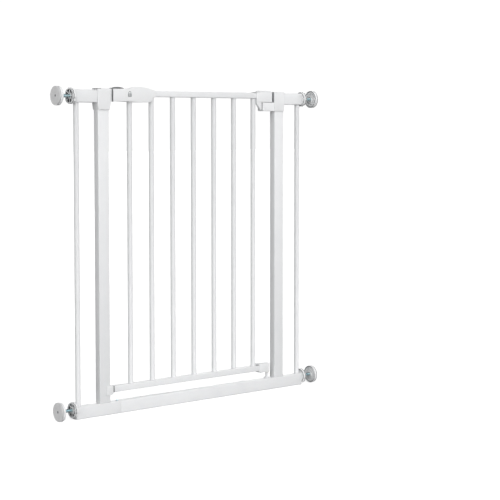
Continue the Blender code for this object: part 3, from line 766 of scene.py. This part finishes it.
at_corners(nut_shell(), "adjusting_nut", "nut", MOULDED_WHITE, "adjusting_nut")
at_corners(nut_rim(), "adjusting_nut", "nut", MOULDED_WHITE)
at_corners(nut_pocket_shade(), "adjusting_nut", "nut", DARK_GREY)
at_corners(nut_shadow_ring(), "adjusting_nut", "nut", DARK_GREY)
print("nuts: 4, of four pieces each")

# %% [markdown]
# The wall cup is a round dish. A rubber disc covers its flat side, and its back has a hub
# for the spindle and rings that stiffen it. A grey ring in its outer groove is painted shade
# for the groove's shadowed wall, and a dark plug in the disc's centre hole is the hole's
# painted shade. Each of the four is turned from a profile.

# %% Wall cups and pads
CUP_R, CUP_STEPS = 0.0225, 72


def wall_cup():
    face, groove, floor, crest = 0.0061, 0.0046, 0.0026, 0.0008
    rim = [
        (CUP_R - 0.0006, face), (CUP_R, face - 0.0006), (CUP_R, 0.0008), (CUP_R - 0.0006, 0),
        (CUP_R - 0.0010, 0), (0.0213, 0.0004),
    ]
    rings = [
        (0.0211, groove), (0.0188, groove), (0.0186, crest), (0.0156, crest),
        (0.0153, floor), (0.0126, floor), (0.0123, crest), (0.0102, crest),
    ]
    hub = [(0.0080, 0.0006), (0.0074, -0.0010), (0.0052, -0.0010), (0.0043, -0.0004)]
    socket = [(0.0043, face - 0.0014), (0, face - 0.0014)]
    return lathe("ringed_cup", [(0, face), *rim, *rings, *hub, *socket], CUP_STEPS)


def rubber_disc():
    thick, rim = 0.0017, CUP_R - 0.0002
    return lathe("rubber_disc", [
        (0.0029, thick - 0.0002), (0.0031, thick), (0.0178, thick), (0.0180, thick - 0.0002),
        (0.0184, thick - 0.0002), (0.0186, thick), (rim - 0.0005, thick), (rim, thick - 0.0005),
        (rim, 0.0002), (0.0029, 0.0002),
    ], CUP_STEPS, ring=True)


def disc_hole_shade():
    # painted shade: a dark plug fills the disc's centre hole in place of the hole's shade
    high, low, r = 0.0015, 0.0002, 0.0028
    profile = [(0, high), (r - 0.0003, high), (r, high - 0.0003), (r, low), (0, low)]
    return lathe("disc_hole_shade", profile, 32)


def cup_groove_shade():
    """A grey ring in the cup's outer groove: painted shade for the groove's shadowed outer wall.
    """
    # painted shade: a grey ring laid where the groove's outer wall falls in shadow
    low, high, inner, outer = 0.0020, 0.0044, 0.0189, 0.0210
    profile = [(inner, high), (outer, high), (outer, low), (inner, low)]
    return lathe("cup_groove_shade", profile, CUP_STEPS, ring=True)


at_corners(wall_cup(), "wall_cup", "spindle", MOULDED_WHITE, "wall_cup")
at_corners(cup_groove_shade(), "wall_cup", "spindle", PRINT_AND_SHADE_GREY)
at_corners(rubber_disc(), "wall_pad", "spindle", RUBBER, "wall_pad")
at_corners(disc_hole_shade(), "wall_pad", "spindle", DARK_GREY)
print("cups and pads: 4 of each")

# %% [markdown]
# The latch post wears a moulded cap that tapers onto the tube. It is drawn as an outline,
# given thickness, and hollowed by the tubes it fits over. A notch in its right wall is
# open at the top, so the lock bolt can lift out of it. A dark strip is let into the top.

# %% Latch post cap
GAP = 0.0003  # the clearance between pieces that fit together
TUBE_Y = 0.010 + GAP  # half of the frame tube's depth, with its clearance


def arc(middle, radius, start, end, steps=5):
    """Points of an arc, from one angle to another in degrees."""
    turns = [radians(start + (end - start) * k / steps) for k in range(steps + 1)]
    return [(middle[0] + radius * cos(turn), middle[1] + radius * sin(turn)) for turn in turns]


def hollow(piece, *boxes):
    """Cuts box-shaped rooms, each given by its lowest and highest corner."""
    for low, high in boxes:
        cut_away(piece, block("hollow", low, high))


def latch_cap():
    (x0, y0, low_z), (x1, y1, high_z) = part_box("latch_post_cap")
    mouth_z, taper_z = low_z + 0.0040, low_z + 0.0125
    r, past = 0.0022, 0.01
    profile = [
        (x0 + 0.0022, low_z), (x1 - 0.0032, low_z), (x1 - 0.0024, mouth_z),
        (x1 - 0.0004, taper_z), (x1, taper_z + 0.0030),
        *arc((x1 - r, high_z - r), r, 0, 90), *arc((x0 + r, high_z - r), r, 90, 180),
        (x0, taper_z + 0.0030), (x0 + 0.0004, taper_z), (x0 + 0.0016, mouth_z),
    ]
    cap = soften(outline("latch_cap", profile, y0, y1), 0.0011, 3)
    post_low, post_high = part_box("left_post")
    stub_z, stub_room_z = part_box("top_stub_left")[0].z - GAP, 0.7717
    post_room = (
        (post_low.x - GAP, -TUBE_Y, low_z - past), (post_high.x + GAP, TUBE_Y, post_high.z + GAP)
    )
    stub_room = ((x0 - past, -TUBE_Y, stub_z), (post_low.x, TUBE_Y, stub_room_z))
    bolt_notch = ((post_high.x - 0.0005, -0.0080, 0.7545), (x1 + past, 0.0080, high_z + past))
    strip_seat = (
        (x0 - past, y0 - past, high_z - 0.0013), (x0 + 0.0095, y1 + past, high_z + past)
    )
    hollow(cap, post_room, stub_room, bolt_notch, strip_seat)
    return dress(cap, "frame", MOULDED_WHITE, "latch_post_cap")


def cap_strip():
    (x0, y0, _), (_, y1, high_z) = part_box("latch_post_cap")
    low = (x0 + 0.0002, y0 + 0.0002, high_z - 0.0012)
    strip = block("cap_strip", low, (x0 + 0.0093, y1 - 0.0002, high_z))
    pick(strip, "FACE", lambda face: face.normal.z > 0.99)
    bpy.ops.mesh.inset(thickness=0.0012, depth=-0.0003)
    leave()
    return dress(soften(strip, 0.0003, 2), "frame", DARK_GREY)


latch_cap()
cap_strip()
print("latch cap and its strip")

# %% [markdown]
# Low on the same post a keeper holds the leaf's lower tongue. Its slot is open at the
# top, and its lower right corner is eased.

# %% Bottom keeper
def keeper():
    (x0, y0, low_z), (x1, y1, high_z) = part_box("bottom_keeper")
    r, past = 0.0016, 0.01
    profile = [
        (x0 + 0.0018, low_z), (x1 - 0.0040, low_z), (x1 - 0.0008, low_z + 0.0022),
        (x1, low_z + 0.0040), *arc((x1 - r, high_z - r), r, 0, 90, 3),
        *arc((x0 + r, high_z - r), r, 90, 180, 3), (x0, low_z + 0.0018),
    ]
    piece = soften(outline("keeper_plate", profile, y0, y1), 0.0009, 3)
    post_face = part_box("left_post")[1].x + GAP
    post_room = ((x0 - past, -TUBE_Y, low_z - past), (post_face, TUBE_Y, high_z + past))
    slot = ((post_face - 0.0005, -0.0055, 0.0560), (x1 + past, 0.0055, high_z + past))
    hollow(piece, post_room, slot)
    return dress(piece, "frame", MOULDED_WHITE, "bottom_keeper")


def rail_pin():
    low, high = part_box("rail_joiner_pin")
    (x, head_r), shank_r = axis_of("rail_joiner_pin"), 0.0022
    height, depth = high.z - BASE_TOP_Z, low.z - BASE_TOP_Z
    pin = lathe("joiner_pin", [
        (0, height), (head_r * 0.55, height - 0.0001), (head_r * 0.90, height - 0.0006),
        (head_r, height - 0.0012), (head_r, GAP), (shank_r, GAP), (shank_r, depth), (0, depth),
    ], 32)
    stand_at(pin, (x, 0, BASE_TOP_Z), 2)
    return dress(pin, "frame", ZINC, "rail_joiner_pin")


keeper()
rail_pin()
print("keeper and joiner pin")

# %% [markdown]
# The hinge post's bracket caps the tube and reaches an arm under the leaf's block, where
# the upper pin stands. Cap and arm are two outlines with round corners, joined into one
# moulding. A dark strip on the cap's inner face is painted shade for the gap beside the block.

# %% Hinge bracket
CAP_X = 0.2540  # the bracket cap's inner face
SEAT_Z = 0.7450  # the arm's top
BLOCK_Z = 0.7458  # the underside of the leaf's block above it


def bracket():
    (arm_x, y0, low_z), (x1, y1, high_z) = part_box("hinge_bracket")
    low_z += 0.0020
    high_z -= 0.0022
    r, small_r, top_r, toe_r, arm_y = 0.0026, 0.0015, 0.0012, 0.0022, 0.0110
    cap = outline("bracket_cap", [
        (CAP_X, low_z + small_r), *arc((CAP_X + small_r, low_z + small_r), small_r, 180, 270, 3),
        *arc((x1 - r, low_z + r), r, -90, 0), *arc((x1 - r, high_z - r), r, 0, 90),
        *arc((CAP_X + top_r, high_z - top_r), top_r, 90, 180, 3),
    ], y0, y1)
    soften(cap, 0.0011, 3)
    arm = outline("bracket_arm", [
        *arc((arm_x + toe_r, low_z + toe_r), toe_r, 180, 270), (CAP_X + 0.0020, low_z),
        (CAP_X + 0.0020, SEAT_Z), *arc((arm_x + top_r, SEAT_Z - top_r), top_r, 90, 180, 3),
    ], -arm_y, arm_y)
    soften(arm, 0.0009, 3)
    cut_away(cap, arm, "UNION")
    post_low, post_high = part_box("right_post")
    pin_x, pin_r = axis_of("upper_hinge_pin")
    hollow(cap, ((post_low.x - GAP, -TUBE_Y, 0.71), (0.30, TUBE_Y, post_high.z + GAP)))
    drill(cap, pin_x, 0.728, 0.760, pin_r + GAP)
    return dress(cap, "frame", MOULDED_WHITE, "hinge_bracket")


def bracket_gap_shade():
    """A dark strip on the bracket's inner face: painted shade for the shadowed gap between the
    leaf's block and the bracket.
    """
    (_, y0, _), (_, y1, high_z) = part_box("hinge_bracket")
    # painted shade: a dark strip where the gap between block and bracket falls in shadow
    low = (CAP_X - 0.0008, y0 + 0.0010, BLOCK_Z)
    strip = block("bracket_gap_shade", low, (CAP_X + 0.0001, y1 - 0.0010, high_z - 0.0030))
    return dress(soften(strip, 0.0003, 2), "frame", PRINT_AND_SHADE_GREY)


def lower_pin():
    low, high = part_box("lower_hinge_pin")
    (x, foot_r), tall = axis_of("lower_hinge_pin"), high.z - low.z
    pin_r, collar_r, collar_z = 0.0030, 0.0040, 0.0142
    pin = lathe("lower_pin", [
        (0, tall), (0.0020, tall), (0.0027, tall - 0.0004), (pin_r, tall - 0.0014),
        (pin_r, collar_z), (collar_r - 0.0002, collar_z), (collar_r, collar_z - 0.0002),
        (collar_r, 0.0050), (0.0044, 0.0036), (0.0054, 0.0026), (foot_r - 0.0012, 0.0021),
        (foot_r - 0.0003, 0.0017), (foot_r, 0.0010), (foot_r, 0), (0, 0),
    ], 48)
    stand_at(pin, (x, 0, low.z), 2)
    return dress(pin, "frame", POWDER_COAT, "lower_hinge_pin")


bracket()
bracket_gap_shade()
lower_pin()
print("hinge bracket and lower pin")

# %% [markdown]
# The leaf's upper corner is a lidded block that drops over the bush. In front a thin
# gusset slants down from beside the last bar to the end of the bracket's arm.

# %% Upper hinge block
PIN_ROOM_Z, PIN_ROOM_R = 0.7738, 0.0060
SPIGOT_Y = 0.0076  # half of a spigot's depth, inside the leaf's rails


def hinge_block():
    (_, y0, leg_z), (x1, y1, high_z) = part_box("upper_hinge_block")
    high_z -= 0.0028
    leg_z += 0.0020
    x0, low_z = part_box("leaf_top_rail")[1].x + GAP, BLOCK_Z
    hinge_x, _ = axis_of("upper_hinge_bush")
    body = block("hinge_block", (x0, y0, low_z), (x1, y1, high_z))
    pick(body, "EDGE", lambda e: runs_along(2)(e) and e.verts[0].co.x > hinge_x)
    bpy.ops.mesh.bevel(offset=0.0060, segments=8, profile=0.5, affect="EDGES")
    leave()
    soften(body, 0.0009, 3)
    toe_x, heel_x, root_z = 0.2085, 0.2118, 0.7500
    leg = outline("hinge_leg", [
        (toe_x, leg_z + 0.0006), (toe_x + 0.0006, leg_z), (heel_x - 0.0006, leg_z),
        (heel_x, leg_z + 0.0006), (heel_x, root_z), (x0 + 0.0003, root_z), (x0 + 0.0003, 0.7425),
    ], -0.0105, -0.0030)
    cut_away(body, soften(leg, 0.0008, 3), "UNION")
    spigot = block("spigot", (0.1800, -SPIGOT_Y, 0.7565), (0.1990, SPIGOT_Y, 0.7680))
    cut_away(body, soften(spigot, 0.0010, 2), "UNION")
    flange_z, flange_r = 0.7472, 0.0076
    drill(body, hinge_x, 0.7400, PIN_ROOM_Z, PIN_ROOM_R)
    drill(body, hinge_x, 0.7400, flange_z, flange_r)
    bar_x, bar_r = axis_of(f"leaf_bar_{BARS}")
    drill(body, bar_x, 0.7300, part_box("leaf_top_rail")[0].z, bar_r + GAP)
    return dress(body, "leaf", MOULDED_WHITE, "upper_hinge_block")


def block_lid():
    (x0, y0, low_z), (x1, y1, high_z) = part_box("hinge_block_lid")
    hinge_x, _ = axis_of("upper_hinge_bush")
    lid = block("block_lid", (x0, y0, low_z - 0.0028), (x1, y1, high_z - 0.0006))
    pick(lid, "EDGE", runs_along(2))
    bpy.ops.mesh.bevel(offset=0.0030, segments=6, profile=0.5, affect="EDGES")
    leave()
    soften(lid, 0.0007, 3)
    drill(lid, hinge_x, 0.7700, PIN_ROOM_Z, PIN_ROOM_R)
    return dress(lid, "leaf", MOULDED_WHITE, "hinge_block_lid")


def rail_end_shades():
    """Small dark strips at the rails' ends: painted shade in the joints with the hinge mouldings.
    """
    # painted shade: dark strips where the rail ends meet the mouldings in shadow
    for name, rail in (("upper_rail_shade", "leaf_top_rail"), ("lower_rail_shade", "leaf_bottom_rail")):
        x, _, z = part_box(rail)[1]
        x -= 0.0002
        rail_shade = block(name, (x - 0.0100, -0.0088, z - 0.0002), (x, -0.0040, z + 0.0006))
        dress(soften(rail_shade, 0.0004, 2), "leaf", DARK_GREY)


hinge_block()
block_lid()
rail_end_shades()
print("upper hinge block, lid and tabs")

# %% [markdown]
# The lower corner is an elbow: a sleeve on the rail that narrows to a knuckle over the
# lower pin. The knuckle is a turned boss joined to the sleeve, and a bore takes the bush.

# %% Lower hinge elbow
LOW_BORE_Z = (0.0535, 0.0655)  # the inside of the leaf's bottom rail, less a clearance


def elbow():
    (_, y0, low_z), (x1, y1, high_z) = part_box("lower_hinge_elbow")
    hinge_x, _ = axis_of("lower_hinge_bush")
    x0, r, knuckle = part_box("leaf_bottom_rail")[1].x + GAP, 0.0014, x1 - hinge_x
    end_x, half_y, screw_x, tall = hinge_x - 0.0080, 0.0092, 0.2175, high_z - low_z
    sleeve = outline("elbow", [
        (x0, low_z + 0.0022), (x0 + 0.0022, low_z), (end_x, low_z), (end_x, high_z - r),
        *arc((end_x - r, high_z - r), r, 0, 90, 3), *arc((x0 + r, high_z - r), r, 90, 180, 3),
    ], -half_y, half_y)
    soften(sleeve, 0.0009, 3)
    drill(sleeve, screw_x, 0.0380, 0.0556, 0.0021)
    neck_low = (hinge_x - 0.0120, y0 + 0.0002, low_z + 0.0002)
    neck = block("neck", neck_low, (hinge_x, y1 - 0.0002, high_z - 0.0003))
    soften(neck, 0.0006, 2)
    boss = lathe("knuckle", [
        (0, tall), (knuckle - 0.0010, tall), (knuckle - 0.0003, tall - 0.0003),
        (knuckle, tall - 0.0010), (knuckle, 0.0006), (knuckle - 0.0006, 0), (0, 0),
    ], 48)
    stand_at(boss, (hinge_x, 0, low_z), 2)
    spigot_low = (0.1880, -SPIGOT_Y, LOW_BORE_Z[0])
    spigot = block("spigot", spigot_low, (x0 + 0.0020, SPIGOT_Y, LOW_BORE_Z[1]))
    soften(spigot, 0.0010, 2)
    for part in (neck, boss, spigot):
        cut_away(sleeve, part, "UNION")
    drill(sleeve, hinge_x, 0.0400, 0.0685, 0.0045)
    return dress(sleeve, "leaf", MOULDED_WHITE, "lower_hinge_elbow")


elbow()
print("lower hinge elbow")

# %% [markdown]
# The grip is two mouldings clamped round the top rail. Its side view is drawn once, from
# arcs and two smooth waves: a flat palm rest on the left, a valley, a crest for the
# fingers and a nose that runs out onto the rail. The front cover is thin, the body deep.

# %% Handle
def handle_profile():
    (x0, _, _), (x1, _, crest_z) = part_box("handle_front_cover")
    nose_x, nose_z, rail_z, rest_z = x1 - 0.0180, 0.7536, 0.7700, 0.7730
    crest_x, valley_x, valley_z = -0.1715, -0.2070, 0.7728
    middle_z, swing_z = (crest_z + valley_z) / 2, (crest_z - valley_z) / 2
    underside = [(x0, 0.7424), (-0.2380, 0.7433)]
    for k in range(9):
        underside.append((-0.2250 + 0.0600 * k / 8, 0.7426 + 0.0010 * cos(pi * k / 8)))
    quarter = [pi / 2 * k / 8 for k in range(9)]
    nose = [(nose_x + 0.0095 * sin(a), nose_z - 0.0116 * cos(a)) for a in quarter]
    rise = [
        (x1 + (crest_x - x1) * k / 10, rail_z + (crest_z - rail_z) * sin(pi / 2 * k / 10))
        for k in range(11)
    ]
    fall = [
        (crest_x + (valley_x - crest_x) * k / 10, middle_z + swing_z * cos(pi * k / 10))
        for k in range(1, 11)
    ]
    palm = [(x0 + 0.0010, rest_z), (x0, rest_z - 0.0008)]
    return [*underside, *nose, (x1, nose_z), *rise, *fall, *palm]


def handle_shells():
    _, (_, cover_back, _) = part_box("handle_front_cover")
    (_, body_front, _), (_, body_back, _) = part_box("handle_rear_body")
    cover = soften(outline("grip_cover", handle_profile(), -0.0120, cover_back), 0.0009, 4)
    body = soften(outline("grip_body", handle_profile(), body_front, body_back), 0.0010, 4)
    rail_room = ((-0.30, -0.0093, 0.7547), (-0.10, 0.0093, 0.7698))
    slot_y = SLOT_HALF + 0.0004
    foot_room = ((SLOT_X[0] - 0.0010, -slot_y, 0.7650), (SLOT_X[1] + 0.0010, slot_y, 0.7800))
    hollow(body, rail_room, foot_room)
    for count in (1, 2):
        x, r = axis_of(f"leaf_bar_{count}")
        drill(body, x, 0.73, 0.76, r + GAP)
    for screw in ("handle_screw_left", "handle_screw_right"):
        low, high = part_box(screw)
        x, z = (low.x + high.x) / 2, (low.z + high.z) / 2
        cut_away(body, cylinder("pilot", (x, low.y - GAP, z), (x, 0.0160, z), 0.0016, 1))
    dress(cover, "leaf", MOULDED_WHITE, "handle_front_cover")
    dress(body, "leaf", MOULDED_WHITE, "handle_rear_body")


handle_shells()
print("handle shells")

# %% [markdown]
# A small padlock is printed on the grip to show where the lock is: a round-cornered body
# and a bent shackle. It is a thin raised print, drawn as outlines on the cover's face.

# %% Padlock sign
def padlock():
    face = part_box("handle_front_cover")[0].y
    print_y = (face - 0.00025, face + 0.0001)
    x, z, wide, tall = -0.1985, 0.7540, 0.0105, 0.0082
    r = 0.0013
    left, right, low, high = x - wide / 2 + r, x + wide / 2 - r, z + r, z + tall - r
    body = outline("padlock_sign", [
        *arc((right, high), r, 0, 90, 3), *arc((left, high), r, 90, 180, 3),
        *arc((left, low), r, 180, 270, 3), *arc((right, low), r, 270, 360, 3),
    ], *print_y)
    outer, inner = 0.0040, 0.0024
    bend_z, foot_z = z + tall + 0.0014, z + tall - 0.0004
    shackle = outline("shackle", [
        *arc((x, bend_z), outer, 0, 180, 12), (x - outer, foot_z), (x - inner, foot_z),
        *arc((x, bend_z), inner, 180, 0, 12), (x + inner, foot_z), (x + outer, foot_z),
    ], *print_y)
    cut_away(body, shackle, "UNION")
    front, back, key_z = face - 0.001, face + 0.001, z + 0.0048
    keyhole = cylinder("keyhole", (x, front, key_z), (x, back, key_z), 0.0012, 1, 24)
    key_slot = block("key_slot", (x - 0.0005, front, z + 0.0020), (x + 0.0005, back, key_z))
    cut_away(keyhole, key_slot, "UNION")
    cut_away(body, keyhole)
    return dress(body, "leaf", PRINT_AND_SHADE_GREY)


padlock()
print("padlock sign")

# %% [markdown]
# The lock housing ends in a dark plate with a white inner face. Above it the thumb slider
# runs in a slot: a low hump with grip ridges, moulded with the foot that moves the bolt.

# %% Thumb slider and end plate
def end_plate():
    (x0, y0, low_z), (x1, y1, high_z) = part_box("lock_end_plate")
    split_y = y0 + 0.0014
    plate = block("lock_end_face", (x1 - 0.0031, y0, low_z), (x1, split_y, high_z))
    liner = block("lock_end_liner", (x0, split_y + GAP, low_z), (x1, y1, high_z))
    soften(plate, 0.0004, 2)
    soften(liner, 0.0006, 2)
    hollow(liner, ((x0 - 0.01, -0.0075, 0.7562), (x1 + 0.01, 0.0075, 0.7683)))
    dress(plate, "leaf", DARK_GREY, "lock_end_plate")
    dress(liner, "leaf", MOULDED_WHITE)


def thumb_slider():
    (x0, y0, _), (x1, y1, high_z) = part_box("thumb_slider")
    x0 += 0.0090
    crest_x, foot_z, lip_z, tail_z, left_z = -0.2310, 0.7736, 0.7741, 0.7746, high_z - 0.0022
    run = x1 + 0.0010 - crest_x
    back = [
        (crest_x + run * k / 6, tail_z + (high_z - tail_z) * cos(pi / 2 * k / 6))
        for k in range(6, -1, -1)
    ]
    slider = outline("slider_cap", [
        (x0, lip_z), (x0 + 0.0012, lip_z), (x0 + 0.0016, foot_z), (x1 - 0.0010, foot_z),
        (x1, foot_z + 0.0008), *back, (crest_x - 0.0030, high_z - 0.0007),
        (crest_x - 0.0050, left_z + 0.0003), (x0 + 0.0004, left_z), (x0, left_z - 0.0003),
    ], y0, y1)
    soften(slider, 0.0004, 2, 40)
    ridge_z = high_z - 0.0012
    for k in range(4):
        x = crest_x + 0.0030 + 0.0022 * k
        ends = (x, y0 + 0.0010, ridge_z), (x, y1 - 0.0010, ridge_z)
        cut_away(slider, cylinder("ridge", *ends, 0.0005, 1, 16), "UNION")
    foot = block("slider_foot", (-0.2320, -0.0026, 0.7682), (-0.2220, 0.0026, 0.7745))
    cut_away(slider, foot, "UNION")
    return dress(slider, "slider", DARK_GREY, "thumb_slider")


end_plate()
thumb_slider()
print("end plate and thumb slider")

# %% [markdown]
# At the leaf's free foot a dark plug closes the bottom rail, and its tongue drops into
# the keeper. The tongue's lower edges are well rounded, so it finds the slot by itself.

# %% Rail end plug
def rail_plug():
    (x0, y0, low_z), (x1, y1, high_z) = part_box("rail_end_cap")
    flange_x = END_GAP_X - GAP - 0.0013
    plug = block("rail_plug", (flange_x, y0, low_z), (END_GAP_X - GAP, y1, high_z))
    soften(plug, 0.0004, 2)
    spigot_low = (flange_x + 0.0004, -SPIGOT_Y, LOW_BORE_Z[0])
    spigot = soften(block("spigot", spigot_low, (x1, SPIGOT_Y, LOW_BORE_Z[1])), 0.0008, 2)
    tongue = block("tongue", (x0, -0.0045, 0.0570), (flange_x + 0.0010, 0.0045, 0.0672))
    pick(tongue, "EDGE", lambda e: runs_along(0)(e) and e.verts[0].co.z < 0.06)
    bpy.ops.mesh.bevel(offset=0.0022, segments=5, profile=0.5, affect="EDGES")
    leave()
    soften(tongue, 0.0005, 2)
    cut_away(plug, spigot, "UNION")
    cut_away(plug, tongue, "UNION")
    return dress(plug, "leaf", DARK_GREY, "rail_end_cap")


rail_plug()
print("rail plug")

# %% [markdown]
# The grip and the elbow are held by pan-head screws with a cross recess. The head is
# turned, and two thin slips cut the cross, as a punch would.

# %% Pan-head screws
def cross_screw(node, axis, sign):
    low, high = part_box(node)
    length = (high - low)[axis]
    head_r = max((high - low)[(axis + 1) % 3], (high - low)[(axis + 2) % 3]) / 2
    head_h, shank_r = head_r * 0.55, head_r * 0.43
    screw = lathe(node + "_cross", [
        (0, head_h), (head_r * 0.45, head_h * 0.97), (head_r * 0.80, head_h * 0.72),
        (head_r * 0.97, head_h * 0.38), (head_r, GAP), (shank_r, GAP),
        (shank_r, head_h - length * 0.88), (0, head_h - length),
    ], 40)
    arm, slot = head_r * 0.50, head_r * 0.10
    for turn in (0, pi / 2):
        slip = block("slip", (-arm, -slot, head_h * 0.30), (arm, slot, head_h * 1.5))
        slip.rotation_euler = (0, 0, turn)
        cut_away(screw, settle(slip))
    middle = (low + high) / 2
    middle[axis] = (high[axis] - head_h) if sign > 0 else (low[axis] + head_h)
    stand_at(screw, middle, axis, sign)
    return dress(screw, "leaf", ZINC, node)


cross_screw("handle_screw_left", 1, 1)
cross_screw("handle_screw_right", 1, 1)
cross_screw("elbow_screw", 2, -1)
print("screws: 3")

# %% [markdown]
# The pieces inside the lock and the tubes keep their working shape. They still get real
# finishes, because the pins, bushes and spring show when the leaf is lifted or opened.

# %% Finishes of the pieces that stay
FINISH_FOR = {slot: finish for finish, slot in SLOT_OF.items() if finish is not PRINT_AND_SHADE_GREY}
kept = 0
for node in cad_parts.values():
    for holder in node.material_slots:
        plain = holder.material.name.split(".")[0]
        if plain in FINISH_FOR:
            holder.material = FINISH_FOR[plain]
    kept += not node.hide_render
print("working pieces that still show:", kept)
